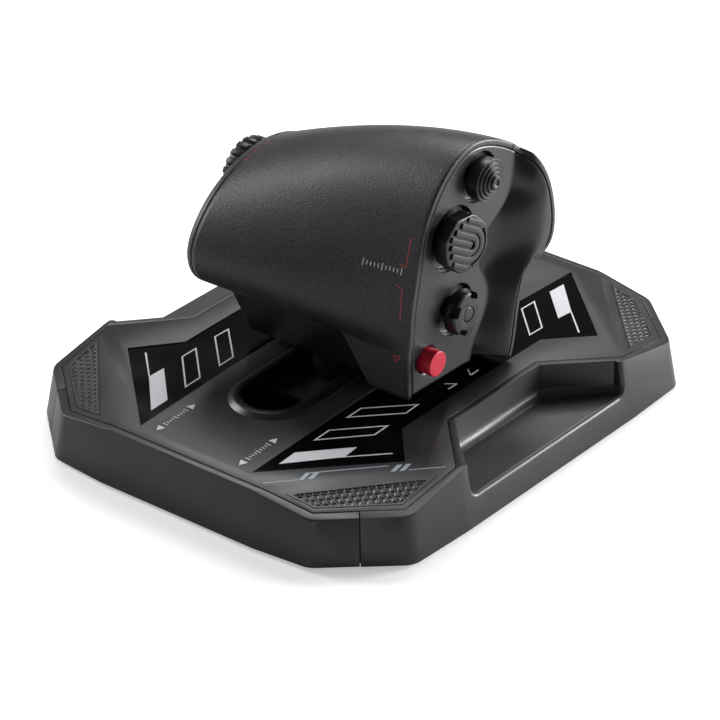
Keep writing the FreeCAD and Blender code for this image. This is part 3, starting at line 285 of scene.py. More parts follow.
@dataclass(frozen=True)
class TurnedMetal:
    """Ground, plated or nickelled metal: fine marks along the piece and a little tone change."""

    name: str
    colour: str
    roughness: float
    stretch: tuple[float, float, float] = (1.0, 0.04, 1.0)

    def build(self) -> bpy.types.Material:
        """Build the node material, with a noise drawn out along the piece as its grinding marks."""
        mat, tree = blank(self.name)
        place = add(tree, "ShaderNodeTexCoord").outputs["Object"]
        drawn = add(tree, "ShaderNodeMapping", {"Scale": self.stretch}, {"Vector": place})
        marks = add(tree, "ShaderNodeTexNoise", {"Scale": 2500.0, "Detail": 3.0},
                    {"Vector": drawn.outputs[0]})
        base = np.array(linear(self.colour))
        tone = add(tree, "ShaderNodeValToRGB", links={0: marks.outputs[0]},
                   stops=[(0.35, shaded(base, 0.82)), (0.65, shaded(base, 1.0))]).outputs["Color"]
        rough = add(tree, "ShaderNodeMapRange", {"To Min": self.roughness - 0.06,
                                                 "To Max": self.roughness + 0.08},
                    {"Value": marks.outputs[0]})
        shader = add(tree, "ShaderNodeBsdfPrincipled", {"Metallic": 1.0},
                     {"Base Color": tone, "Roughness": rough.outputs[0]})
        add(tree, "ShaderNodeOutputMaterial", links={"Surface": shader.outputs[0]})
        return mat


@dataclass(frozen=True)
class BoardLaminate:
    """Circuit board: green solder mask over fine copper tracks that show as paler lines."""

    name: str = "solder masked laminate"
    colour: str = "#124a26"
    track: str = "#2c7a44"
    pitch_mm: float = 1.2

    def build(self) -> bpy.types.Material:
        """Build the node material, with the joints of a brick pattern as tracks."""
        mat, tree = blank(self.name)
        place = add(tree, "ShaderNodeTexCoord").outputs["Object"]
        mask = linear(self.colour)
        tracks = add(tree, "ShaderNodeTexBrick", {"Color1": mask, "Color2": mask,
                                                  "Mortar": linear(self.track), "Mortar Size": 0.012,
                                                  "Scale": 1 / (self.pitch_mm * MM) / 4},
                     {"Vector": place})
        shader = add(tree, "ShaderNodeBsdfPrincipled", {"Roughness": 0.35, "IOR": 1.5},
                     {"Base Color": tracks.outputs[0]})
        add(tree, "ShaderNodeOutputMaterial", links={"Surface": shader.outputs[0]})
        return mat


class Finish(Enum):
    """The finishes of this object, each with what the real one is."""

    # skirt: satin ABS, fine spark grain, a soft broad sheen
    SHELL = MouldedPlastic("satin moulded ABS, charcoal", "#222325", 0.40, 0.30, 0.010)
    # top plate: the same ABS, a tone darker
    PLATE = MouldedPlastic("satin moulded ABS, slate", "#212226", 0.42, 0.30, 0.010)
    # grip shell: eroded grain, drawn coarser and deeper than the real one so that it shows from the whole
    # # object's distance; the glints of its rough skin are painted into the colour as light and dark flecks
    GRAIN = MouldedPlastic("grain ABS with painted glint flecks", "#232325", 0.44, 0.75, 0.26, painted_glint=2.4)
    # thumb panel: smoother satin skin
    PANEL = MouldedPlastic("satin soft-sheen ABS", "#222326", 0.34, 0.30, 0.006)
    # hull and works: near-black ABS
    DARK = MouldedPlastic("near-black moulded ABS", "#101112", 0.45, 0.35, 0.012)
    # slot collar: dark ABS, a little smoother, so its rim catches the light
    COLLAR = MouldedPlastic("satin moulded ABS, black", "#141517", 0.33, 0.35, 0.006)
    # printed sheet behind a clear gloss coat: crisp reflections
    GLOSS = MouldedPlastic("gloss printed sheet", "#050506", 0.12, 0.8, 0.002, specular=0.12)
    # knurled pads: soft-touch rubber, matte
    PAD = MouldedPlastic("knurled soft-touch rubber", "#2f3032", 0.42, 0.4, 0.012)
    # feet: plain matte rubber
    FOOT = MouldedPlastic("plain matte rubber", "#1c1c1c", 0.8, 0.8, 0.03)
    # hats and wheel: satin nylon
    CONTROL = MouldedPlastic("satin nylon, dark grey", "#1a1b1d", 0.38, 0.35, 0.008)
    # red button: moulded cap with a satin sheen
    RED = MouldedPlastic("red moulded ABS", "#c3132f", 0.38, 0.35, 0.006, mottle=0.03)
    # printed marks: white pad-print ink
    WHITE_INK = MouldedPlastic("white pad-print ink", "#c9cbcf", 0.5, 0.5, 0.002, mottle=0.03)
    # red print on the grip
    RED_INK = MouldedPlastic("red pad-print ink", "#b03a48", 0.5, 0.5, 0.002, mottle=0.05)
    # pale print on the plate
    GREY_INK = MouldedPlastic("pale grey pad-print ink", "#9aa4ac", 0.5, 0.5, 0.002, mottle=0.03)
    # bushings and gimbals: acetal
    ACETAL = MouldedPlastic("natural acetal", "#cfc9b8", 0.4, 0.6, 0.01)
    ROD = TurnedMetal("ground steel rod", "#b9babd", 0.22)
    ZINC = TurnedMetal("zinc-plated steel", "#a9abaf", 0.35, (1.0, 1.0, 0.05))
    NICKEL = TurnedMetal("nickel-plated magnet", "#c4c3bf", 0.18, (1.0, 1.0, 1.0))
    BOARD = BoardLaminate()


_made: dict[Finish, bpy.types.Material] = {}


def finish_of(kind: Finish) -> bpy.types.Material:
    """The material of a finish, built once."""
    if kind not in _made:
        _made[kind] = kind.value.build()
    return _made[kind]


def dress(obj: bpy.types.Object, finish: Finish, body: str,
          stands_for: Sequence[str] = ()) -> bpy.types.Object:
    """Give a piece its finish, its body and the CAD nodes it stands for."""
    obj.data.materials.clear()
    obj.data.materials.append(finish_of(finish))
    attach(obj, body)
    if stands_for:
        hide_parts(*stands_for)
    log.info("%s: %d faces on %s", obj.name, len(obj.data.polygons), body)
    return obj


# ---------------------------------------------------------------- curves
def unit(runs: Array) -> Array:
    """Each vector of an array, made one long."""
    return runs / np.linalg.norm(runs, axis=-1, keepdims=True)


def beside(runs: Array) -> Array:
    """Each plane vector of an array, turned a quarter turn to the right: (y, -x)."""
    return np.stack([runs[..., 1], -runs[..., 0]], axis=-1)


def lengths(curves: Array) -> Array:
    """Length of each curve up to each of its points, from (curves, points, 2) points."""
    step = np.linalg.norm(np.diff(curves, axis=1), axis=2)
    return np.concatenate([np.zeros((len(curves), 1)), np.cumsum(step, axis=1)], axis=1)


def spline(points: Array, count: int) -> Array:
    """Smooth curves through points, many at a time.

    Each curve is a natural cubic spline on its chord lengths: between knots i and i+1, h apart, the
    point is a(1-u) + bu plus the second-derivative terms ((1-u)^3-(1-u)) M_i h^2/6 and
    (u^3-u) M_(i+1) h^2/6, where M solves the usual tridiagonal system with M = 0 at both ends.

    Args:
        points: (curves, knots, 2) corner points.
        count: how many points to give back on each curve, evenly spaced along the chords.
    Returns:
        (curves, count, 2) points.
    """
    curves, n, _ = points.shape
    h = np.linalg.norm(np.diff(points, axis=1), axis=2)
    knots = lengths(points)
    system = np.zeros((curves, n, n))
    right = np.zeros((curves, n, 2))
    system[:, 0, 0] = system[:, -1, -1] = 1.0
    i = np.arange(1, n - 1)
    system[:, i, i - 1] = h[:, :-1]
    system[:, i, i] = 2 * (h[:, :-1] + h[:, 1:])
    system[:, i, i + 1] = h[:, 1:]
    slope = np.diff(points, axis=1) / h[..., None]
    right[:, 1:-1] = 6 * np.diff(slope, axis=1)
    m = np.linalg.solve(system, right)
    at = np.linspace(0, 1, count)[None, :] * knots[:, -1:]
    k = np.clip((at[:, :, None] >= knots[:, None, :]).sum(axis=2) - 1, 0, n - 2)
    rows = np.arange(curves)[:, None]
    hk = h[rows, k][..., None]
    u = ((at - knots[rows, k])[..., None]) / hk
    value = points[rows, k] * (1 - u) + points[rows, k + 1] * u
    value += ((1 - u) ** 3 - (1 - u)) * m[rows, k] * hk ** 2 / 6
    value += (u ** 3 - u) * m[rows, k + 1] * hk ** 2 / 6
    return value


def smooth(t: Array) -> Array:
    """Ease from 0 to 1: 3t^2 - 2t^3, held at its ends."""
    t = np.clip(t, 0.0, 1.0)
    return t * t * (3 - 2 * t)


def line_y(line: Sequence[Pair], z: Array) -> Array:
    """y at heights z on a smooth curve through (z, y) points."""
    zs, ys = spline(np.array(line, float)[None], 400)[0].T
    return np.interp(z, zs, ys)


# ---------------------------------------------------------------- the grip's form
@dataclass(frozen=True)
class GripForm:
    """The hand grip's outer form: a section in Y and Z that grows from the far end to the thumb end."""

    left: float = -48.0
    right: float = 54.0
    under_rear: Pair = (-39.0, 57.0)
    under_slope: float = 0.16
    far_end: tuple = ((-50.0, 64.0), (-53.2, 75.5), (-48.2, 87.0), (-38.5, 96.8), (-24.0, 104.8),
                      (-5.0, 109.3), (14.0, 106.5), (29.0, 98.0), (38.0, 86.0), (37.5, 74.0))
    thumb_end: tuple = ((-38.4, 61.0), (-37.0, 75.0), (-34.0, 90.0), (-28.7, 110.0), (-17.3, 127.0),
                        (0.0, 136.0), (20.0, 131.8), (42.0, 115.5), (52.2, 93.5), (50.2, 74.0))
    notch: Pair = (28.0, 36.0)
    rear_points: int = 3
    hull_rear: float = -35.8
    apron_from: float = 20.0
    apron_to: float = 34.0
    apron_low: float = 37.0
    apron_ease: float = 4.0
    seam_y: float = 30.0
    seam_over: float = 90.0
    leg: tuple = ((34.9, 68.9), (31.9, 63.7), (28.9, 52.5), (26.9, 40.0), (24.5, 31.4))
    hull_front: tuple = ((27.4, 66.0), (26.6, 60.5), (25.0, 52.0), (23.4, 42.5), (22.0, 34.6))
    ridge: tuple = ((30.0, 3.0), (42.0, 3.4), (57.0, 12.4), (69.0, 13.4), (80.0, 8.5), (90.0, 10.0),
                    (103.0, 26.0), (115.0, 30.0), (142.0, 30.0))
    front: tuple = ((30.0, 24.5), (52.0, 28.5), (64.0, 32.0), (78.0, 49.0), (94.0, 52.0), (114.0, 43.0),
                    (128.0, 32.0))
    valley: float = 8.0
    valley_end: float = 0.85
    valley_lean: float = 0.58
    valley_span: float = 14.0
    least_span: float = 8.0
    bulge: float = 5.5
    bulge_start: float = 0.42
    bulge_run: float = 0.45
    wells: tuple = ((6.9, 120.0, 9.2), (-10.3, 99.0, 12.4), (-7.7, 65.5, 9.6))
    well_depth: float = 3.4
    red: tuple[float, float, float] = (-26.5, 50.3, 5.5)

    def under_z(self, y: Array) -> Array:
        """Height of the head's flat underside at y."""
        return self.under_rear[1] + self.under_slope * (y - self.under_rear[0])

    def growth(self, x: Array) -> tuple[Array, Array]:
        """How far the section has grown at each x: the rear lip's share, then the rest's.

        They are t^1.3 and 1-(1-t)^1.6, t running from 0 at the far end to 1 at the thumb end.
        """
        t = np.clip((x - self.left) / (self.right - self.left), 0, 1)[:, None, None]
        return t ** 1.3, 1 - (1 - t) ** 1.6

    def corners(self, x: Array) -> Array:
        """Corner points of the section at each x.

        Args:
            x: places across the grip.
        Returns:
            (places, corners, 2) points as (y, z), from the rear lip over the crest to the notch.
        """
        slow, full = self.growth(x)
        far, near = np.array(self.far_end)[None], np.array(self.thumb_end)[None]
        grow = np.where((np.arange(far.shape[1]) < self.rear_points)[None, :, None], slow, full)
        middle = far + (near - far) * grow
        first = np.broadcast_to(np.array(self.under_rear), (len(x), 1, 2))
        notch_y = self.notch[0] + (self.notch[1] - self.notch[0]) * full[:, :, 0]
        last = np.stack([notch_y, self.under_z(notch_y)], axis=-1)
        return np.concatenate([first, middle, last], axis=1)

    def section(self, x: Array, count: int = 400) -> Array:
        """Smooth section curves at each x, as (places, count, 2)."""
        return spline(self.corners(x), count)

    def panel_x(self, y: Array, z: Array) -> Array:
        """Outer face of the thumb panel over (y, z).

        Flat to the ridge line; past it, t runs from 0 at the ridge to 1 at the front line. The valley
        is a whole cosine wave in (t / end)^lean, held at its end. Its depth goes with
        1 - exp(-(span / 14)^1.5), so it is less where the lines lie close, and falls to 0.3 of that
        from a height of 40 mm down to 30. The finger bulge is an eased rise from its start on.
        """
        ridge = line_y(self.ridge, z)
        span = np.maximum(line_y(self.front, z) - ridge, self.least_span)
        t = (y - ridge) / span
        wave = 0.5 - 0.5 * np.cos(2 * math.pi * np.clip(t / self.valley_end, 0, 1) ** self.valley_lean)
        depth = self.valley * (1 - np.exp(-(span / self.valley_span) ** 1.5))
        depth = depth * (0.3 + 0.7 * smooth((z - 30.0) / 10.0))
        return self.right - depth * wave + self.bulge * smooth((t - self.bulge_start) / self.bulge_run)


def resampled(curve: Array, start: Array, stop: Array, count: int) -> Array:
    """Points evenly spaced along each curve between two fractions of its length.

    Args:
        curve: (places, points, 2) curves.
        start: fraction where each curve's new points begin.
        stop: fraction where they end.
        count: how many points on each.
    Returns:
        (places, count, 2) points.
    """
    along = lengths(curve)
    out = np.empty((len(curve), count, 2))
    for i, line in enumerate(curve):
        at = np.linspace(start[i], stop[i], count) * along[i, -1]
        out[i, :, 0] = np.interp(at, along[i], line[:, 0])
        out[i, :, 1] = np.interp(at, along[i], line[:, 1])
    return out


def fraction_where(curve: Array, reached: Array) -> Array:
    """Fraction of each curve's length at which a boolean (places, points) array first turns true."""
    along = lengths(curve)
    first = np.argmax(reached, axis=1)
    return along[np.arange(len(curve)), first] / along[:, -1]


@dataclass
class GripShells:
    """The grip's palm shell, finger shell and end cap, each a wall with rounded rims."""

    form: GripForm
    wall: float = 2.5
    gap: float = 0.3
    rim_round: float = 1.1
    rim_inset: float = 2.45
    cap_depth: float = 5.0
    cap_inset: float = 4.6
    flare_over: float = 22.0
    floor_shares: tuple = (0.8, 0.55, 0.3, 0.12)
    columns: int = 64
    rows: int = 110
    rim_steps: int = 6
    back_steps: int = 14

    def wall_stations(self) -> tuple[Array, Array]:
        """Stations round the wall's thickness, from the far end to the thumb end and back inside.

        Returns:
            The x of each station and how far its curve is inset from the outer form.
        """
        form, r, back = self.form, self.rim_round, self.back_steps
        start = form.left + self.gap / 2
        turn = np.linspace(0, math.pi / 2, self.rim_steps + 1)[1:]
        x = np.concatenate([np.linspace(start, form.right - r, self.columns),
                            form.right - r + r * np.sin(turn), np.full(2, form.right),
                            np.linspace(form.right - 0.3, start, back)])
        inset = np.concatenate([np.zeros(self.columns), r - r * np.cos(turn),
                                [self.rim_inset - 0.3], np.full(back + 1, self.rim_inset)])
        return x, inset

    def flare(self, points: Array, x: Array) -> Array:
        """Carry the thumb end's rim out to the panel's bulge.

        Each point moves by the panel's rise beside it, eased in over the last of the length.
        """
        form = self.form
        rise = form.panel_x(points[..., 0], points[..., 1]) - form.right
        rise = np.maximum(rise, 0.0)
        ease = smooth((x - (form.right - self.flare_over)) / self.flare_over)
        return x[:, None] + rise * ease[:, None]

    def shell(self, name: str, curves: Array, x: Array) -> bpy.types.Object:
        """Close a wall carried along the section into a solid.

        Args:
            name: the object's name.
            curves: (stations, rows, 2) points as (y, z).
            x: the stations' places.
        Returns:
            The mesh object: a grid that wraps round the wall, capped at both ends of the section.
        """
        places = self.flare(curves, x)
        points = np.concatenate([places[..., None], curves], axis=2)
        stations, rows = points.shape[:2]
        faces = grid_faces(stations, rows, wrap_rows=True).tolist()
        outer = self.columns + self.rim_steps + 2
        for row in (0, rows - 1):
            ring = [i * rows + row for i in range(stations)]
            faces += self.strip(ring, outer, points.reshape(-1, 3))
        return recalculated(as_mesh(name, points.reshape(-1, 3), faces))

    @staticmethod
    def strip(ring: list[int], outer: int, points: Array) -> list[list[int]]:
        """Faces that close a wall's end between its outer stations and its inner ones.

        An inner point is taken up once the outer run has come within 0.6 mm of it.
        """
        out_ids, in_ids = ring[:outer], ring[outer:][::-1]
        faces, j = [], 0
        for i in range(len(out_ids) - 1):
            target = points[out_ids[i + 1]][0]
            faces.append([out_ids[i], out_ids[i + 1], in_ids[j]])
            while j < len(in_ids) - 1 and points[in_ids[j + 1]][0] <= target + 0.6:
                faces.append([out_ids[i + 1], in_ids[j + 1], in_ids[j]])
                j += 1
        return faces

    def seam_share(self, curve: Array, shift: float) -> Array:
        """Share of each section curve at which it passes the seam, moved by a shift in y."""
        past = (curve[..., 0] > self.form.seam_y + shift) & (curve[..., 1] > self.form.seam_over)
        return fraction_where(curve, past)

    def palm(self) -> bpy.types.Object:
        """Palm shell: from its lip and rear apron over the crest to the seam."""
        form = self.form
        x, inset = self.wall_stations()
        curve = form.section(x)
        seam = self.seam_share(curve, -self.gap / 2)
        body = resampled(curve, np.zeros(len(x)), seam, self.rows)
        drop = np.clip((x - form.apron_from) / (form.apron_to - form.apron_from), 0, 1)
        low = np.where(x < form.apron_from, form.under_rear[1], form.under_rear[1]
                       + (form.apron_low - form.under_rear[1]) * drop)
        side = smooth((x - form.apron_from) / form.apron_ease + 0.5)
        lead_y = form.hull_rear + (form.under_rear[0] - form.hull_rear) * side
        lead_z = np.where(side < 1, form.under_z(lead_y) * (1 - side) + low * side, low)
        steps = np.linspace(0, 1, 14)[None, :-1, None]
        start = np.stack([lead_y, lead_z], axis=-1)[:, None]
        lead = start + (body[:, :1] - start) * steps
        whole = np.concatenate([lead, body], axis=1)
        solid = inset_by_station(whole, inset)
        return self.shell("palm_shell_moulding", solid, x)

    def finger(self) -> bpy.types.Object:
        """Finger shell: from the seam over the nose, under it and down the front of the leg."""
        form = self.form
        x, inset = self.wall_stations()
        curve = form.section(x)
        seam = self.seam_share(curve, self.gap / 2)
        body = resampled(curve, seam, np.ones(len(x)), self.rows)
        leg, hull_front = np.array(form.leg)[None], np.array(form.hull_front)[None]
        knots = hull_front + (leg - hull_front) * form.growth(x)[1]
        tail = spline(np.concatenate([body[:, -6:-5], knots], axis=1), 46)
        whole = np.concatenate([body[:, :-6], tail], axis=1)
        solid = inset_by_station(whole, inset)
        return self.shell("finger_shell_moulding", solid, x)

    def end_cap(self) -> bpy.types.Object:
        """End cap: the far end's section, rounded over and closed.

        Rings of the section at growing insets follow a quarter ellipse in x, then shrink to the middle.
        """
        form = self.form
        turn = np.linspace(0, math.pi / 2, 12)
        x = form.left - self.gap / 2 - (self.cap_depth - self.gap / 2) * np.sin(turn)
        inset = self.cap_inset * (1 - np.cos(turn))
        section = form.section(np.array([form.left]), 400)
        closed = resampled(section, np.zeros(1), np.ones(1), 150)[0]
        floor = np.linspace(closed[-1], closed[0], 40)[1:-1]
        ring = np.concatenate([closed, floor])
        centre = ring.mean(axis=0)
        normal = beside(unit(np.roll(ring, -1, axis=0) - np.roll(ring, 1, axis=0)))
        rings = [np.column_stack([np.full(len(ring), xi), ring + normal * a]) for xi, a in zip(x, inset)]
        last = rings[-1][:, 1:]
        for share in self.floor_shares:
            inner = centre + (last - centre) * share
            rings.append(np.column_stack([np.full(len(ring), x[-1]), inner]))
        points = np.concatenate(rings)
        count, size = len(rings), len(ring)
        faces = grid_faces(count, size, wrap_cols=True).tolist()
        faces.append(list(range((count - 1) * size, count * size)))
        faces.append(list(range(size))[::-1])
        return recalculated(as_mesh("end_cap_moulding", points, faces))


def inset_by_station(curves: Array, inset: Array) -> Array:
    """Inset each station's curve by its own amount."""
    run = np.gradient(curves, axis=1)
    length = np.linalg.norm(run, axis=2, keepdims=True)
    return curves + beside(run) / np.maximum(length, 1e-9) * inset[:, None, None]


# ---------------------------------------------------------------- thin patches, bars and turned forms
def spread(corners: Sequence[Pair], n: int, m: int) -> tuple[Array, Array, Array]:
    """An even grid of points between four corners, by the rule (1-u)(1-v)A + u(1-v)B + uvC + (1-u)vD.

    Args:
        corners: four corners, in order round the grid.
        n: how many points from the first corner to the second.
        m: how many from the first to the fourth.
    Returns:
        The points, the quads, and the numbers of the points round the rim.
    """
    a, b, c, d = np.asarray(corners, float)
    u, v = np.meshgrid(np.linspace(0, 1, n), np.linspace(0, 1, m))
    u, v = u.reshape(-1, 1), v.reshape(-1, 1)
    flat = (1 - u) * (1 - v) * a + u * (1 - v) * b + u * v * c + (1 - u) * v * d
    ids = np.arange(m * n).reshape(m, n)
    rim = np.concatenate([ids[0, :-1], ids[:-1, -1], ids[-1, :0:-1], ids[:0:-1, 0]])
    return flat, grid_faces(m, n), rim


def patch(corners: Sequence[Pair], place: Callable[[Array, float], Array], low: float,
          high: float, step: float) -> tuple[Array, Array]:
    """A thin closed patch laid on a surface: one grid at each of two lifts, joined round the rim.

    Args:
        corners: four corners in the surface's own two coordinates, in order round the patch.
        place: turns rows of those coordinates and a lift into places in millimetres.
        low: lift of the lower sheet.
        high: lift of the upper sheet.
        step: rough spacing of the points.
    Returns:
        The points and the quads.
    """
    a, b, c, d = np.asarray(corners, float)
    n = 1 + max(1, int(max(np.linalg.norm(b - a), np.linalg.norm(c - d)) / step))
    m = 1 + max(1, int(max(np.linalg.norm(d - a), np.linalg.norm(c - b)) / step))
    flat, top, rim = spread(corners, n, m)
    after = np.roll(rim, -1)
    sides = np.stack([rim, after, after + m * n, rim + m * n], axis=1)
    return (np.concatenate([place(flat, high), place(flat, low)]),
            np.concatenate([top, top[:, ::-1] + m * n, sides]))


def patches(name: str, shapes: Sequence[tuple[Array, Array]]) -> bpy.types.Object:
    """Put several patches into one mesh object."""
    points, faces, start = [], [], 0
    for pts, quads in shapes:
        points.append(pts)
        faces.append(quads + start)
        start += len(pts)
    return recalculated(as_mesh(name, np.concatenate(points), np.concatenate(faces), smooth=False), 1e-7)


def frame_strips(corners: Sequence[Pair], width: float) -> list[list[Pair]]:
    """Four-cornered strips that follow the inside of a closed outline, mitred at its corners.

    Args:
        corners: the outline's corners in order.
        width: the strips' width.
    Returns:
        One strip of four corners per side.
    """
    ring = np.asarray(corners, float)
    ahead = unit(np.roll(ring, -1, axis=0) - ring)
    area = np.sum(ring[:, 0] * np.roll(ring[:, 1], -1) - ring[:, 1] * np.roll(ring[:, 0], -1))
    na = beside(ahead) * (-1.0 if area > 0 else 1.0)
    nb = np.roll(na, 1, axis=0)
    inner = ring + (na + nb) * (width / (1 + np.sum(na * nb, axis=1, keepdims=True)))
    after, inner_after = np.roll(ring, -1, axis=0), np.roll(inner, -1, axis=0)
    return [[tuple(p), tuple(q), tuple(r), tuple(s)] for p, q, r, s in zip(ring, after, inner_after, inner)]


def wound(name: str, x: Array, reach: Array, centre: Pair, degrees: float
          ) -> bpy.types.Object:
    """A closed form wound about a line along X.

    Each point is (x, y0 + reach cos a, z0 + reach sin a), a going once round in even steps.

    Args:
        name: the object's name.
        x: the profile points' places along the line.
        reach: (profile points, angles) distances from the line.
        centre: the line's (y, z).
        degrees: edges sharper than this are kept crisp.
    Returns:
        The mesh object, closed at both poles.
    """
    turn = np.linspace(0, 2 * math.pi, reach.shape[1], endpoint=False)
    points = np.stack([np.broadcast_to(x[:, None], reach.shape), centre[0] + reach * np.cos(turn),
                       centre[1] + reach * np.sin(turn)], axis=-1)
    faces = grid_faces(*reach.shape, wrap_cols=True)
    return sharpen(recalculated(as_mesh(name, points.reshape(-1, 3), faces)), degrees)


def turned(name: str, profile: Sequence[Pair], centre: Pair,
           shape: Callable[[Array], Array] | None = None, steps: int = 96) -> bpy.types.Object:
    """A form turned about a line along X, its radius multiplied by f(a), with f = 1 for a round form.

    Args:
        name: the object's name.
        profile: (radius, x) pairs from the axis, round the outside and back to the axis.
        centre: the line's (y, z).
        shape: factor f on the radius over the angle.
        steps: points round the turn.
    Returns:
        The mesh object, closed at both poles.
    """
    turn = np.linspace(0, 2 * math.pi, steps, endpoint=False)
    factor = shape(turn) if shape else np.ones(steps)
    r, x = np.array(profile).T
    return wound(name, x, r[:, None] * factor, centre, 40)


def softened(corners: Sequence[Pair], radius: float | Sequence[float]) -> list[Pair]:
    """Round the inner corners of an open profile with short quarter bends of five points.

    Each bend is the curve (1-t)^2 P + 2t(1-t) C + t^2 Q through its corner C, P and Q lying a
    radius away on the two sides.
    """
    line = np.asarray(corners, float)
    radii = np.broadcast_to(np.asarray(radius, float), (len(line),))
    out = [tuple(line[0])]
    for i in range(1, len(line) - 1):
        back, ahead = line[i - 1] - line[i], line[i + 1] - line[i]
        lb, la = np.linalg.norm(back), np.linalg.norm(ahead)
        r = min(radii[i], lb * 0.45, la * 0.45)
        p, q = line[i] + back * (r / lb), line[i] + ahead * (r / la)
        t = np.linspace(0, 1, 5)[:, None]
        out += [tuple(w) for w in (1 - t) ** 2 * p + 2 * t * (1 - t) * line[i] + t ** 2 * q]
    out.append(tuple(line[-1]))
    return out


def bar(path: Array, width: float, base: float, top: float, centre: Pair
        ) -> tuple[Array, Array]:
    """A raised bar with rounded shoulders, carried along a path on a face that looks along +X.

    Args:
        path: (points, 2) places on the face, as (y, z) from the centre.
        width: the bar's width.
        base: x of its foot.
        top: x of its crown.
        centre: the face's centre as (y, z).
    Returns:
        The points and the quads.
    """
    side = -beside(unit(np.gradient(path, axis=0)))
    half, r = width / 2, min(0.3, width / 3)
    across = np.array([-half, -half, -half + 0.3 * r, -half + r, half - r, half - 0.3 * r, half, half])
    up = np.array([base, top - r, top - 0.3 * r, top, top, top - 0.3 * r, top - r, base])
    flat = path[:, None, :] + side[:, None, :] * across[None, :, None]
    points = np.concatenate([np.broadcast_to(up[None, :, None], flat.shape[:2] + (1,)),
                             flat + np.array(centre)], axis=2)
    rows, cols = flat.shape[:2]
    faces = grid_faces(rows, cols, wrap_cols=True).tolist()
    ends = []
    for row in (0, rows - 1):
        ring = [row * cols + i for i in range(cols)]
        ends += [[ring[0], ring[1], ring[6], ring[7]], [ring[1], ring[2], ring[5], ring[6]],
                 [ring[2], ring[3], ring[4], ring[5]]]
    return points.reshape(-1, 3), np.array(faces + ends)


# ---------------------------------------------------------------- the base
@dataclass(frozen=True)
class Deck:
    """The base's top surface: a crowned sheet with its four corners folded down."""

    top: float = 29.5
    crown_radius: float = 1782.1
    bend: Pair = (40.0, 114.0)
    tip: Pair = (64.0, 111.8)
    side: Pair = (91.0, 87.5)
    waist_corner: Pair = (92.2, 57.0)
    flap_drop: float = 3.3

    def crown(self, y: Array) -> Array:
        """Height of the crown at y: a circle of the crown's radius about a line along X."""
        return self.top - self.crown_radius + np.sqrt(self.crown_radius ** 2 - np.square(y))

    def height(self, x: Array, y: Array) -> Array:
        """Height at (x, y): the lower of the crown and the folded corner's plane."""
        a = np.array([*self.bend, float(self.crown(self.bend[1]))])
        b = np.array([*self.waist_corner, float(self.crown(self.waist_corner[1]))])
        c = np.array([*self.tip, float(self.crown(self.tip[1])) - self.flap_drop])
        n = np.cross(b - a, c - a)
        plane = a[2] - (n[0] * (np.abs(x) - a[0]) + n[1] * (np.abs(y) - a[1])) / n[2]
        return np.minimum(self.crown(y), plane)

    def lay(self, flat: Array, lift: float) -> Array:
        """Places on the top surface, raised by a lift."""
        return np.column_stack([flat, self.height(flat[:, 0], flat[:, 1]) + lift])


@dataclass
class BaseMouldings:
    """Bumpers, side shells and top plate, each with its moulded edges rounded."""

    skirt_edge: float = 0.7
    plate_edge: float = 0.35

    def build(self) -> None:
        """Copy each moulding from its CAD solid, round its edges and dress it."""
        for node in ("front_bumper", "rear_bumper", "left_side_shell", "right_side_shell"):
            dress(softened_copy(node, node + "_moulding", self.skirt_edge, 38), Finish.SHELL,
                  "base", [node])
        dress(softened_copy("top_plate", "top_plate_moulding", self.plate_edge, 50),
              Finish.PLATE, "base", ["top_plate"])


@dataclass
class SlotCollar:
    """The raised oval collar round the slot: one profile carried round a long slot's outline."""

    deck: Deck
    half: float = 13.3
    reach: float = 59.0
    throat: float = 15.1
    foot: float = 18.9
    rise: float = 1.9
    depth: float = 3.2
    bend_steps: int = 40
    run_steps: int = 58

    def build(self) -> None:
        """Build and dress the collar.

        A point of the profile, h from the slot's middle line and u above the top surface, goes to
        (h cos a, reach end + h sin a) in plan, a running half a turn about each end of the line.
        """
        profile = np.array(softened([(self.throat, -self.depth), (self.half, -self.depth),
                                     (self.half, self.rise), (16.4, self.rise), (self.foot, -0.05),
                                     (self.throat, -0.05), (self.throat, -self.depth)],
                                    [0, 0.3, 0.8, 0.9, 0.15, 0.0, 0]))[:-1]
        bend, run = self.bend_steps, self.run_steps
        turn = np.linspace(0, math.pi, bend)
        straight = np.linspace(self.reach, -self.reach, run + 2)[1:-1]
        angle = np.concatenate([turn, np.full(run, math.pi), turn + math.pi, np.zeros(run)])
        end = np.concatenate([np.full(bend, self.reach), straight, np.full(bend, -self.reach),
                              straight[::-1]])
        h, u = profile[:, 0][None, :], profile[:, 1][None, :]
        x = h * np.cos(angle)[:, None]
        y = end[:, None] + h * np.sin(angle)[:, None]
        points = np.stack([x, y, self.deck.crown(y) + u], axis=-1)
        faces = grid_faces(*x.shape, wrap_rows=True, wrap_cols=True)
        obj = sharpen(recalculated(as_mesh("slot_collar", points.reshape(-1, 3), faces)), 40)
        dress(obj, Finish.COLLAR, "base", ["slot_bezel"])


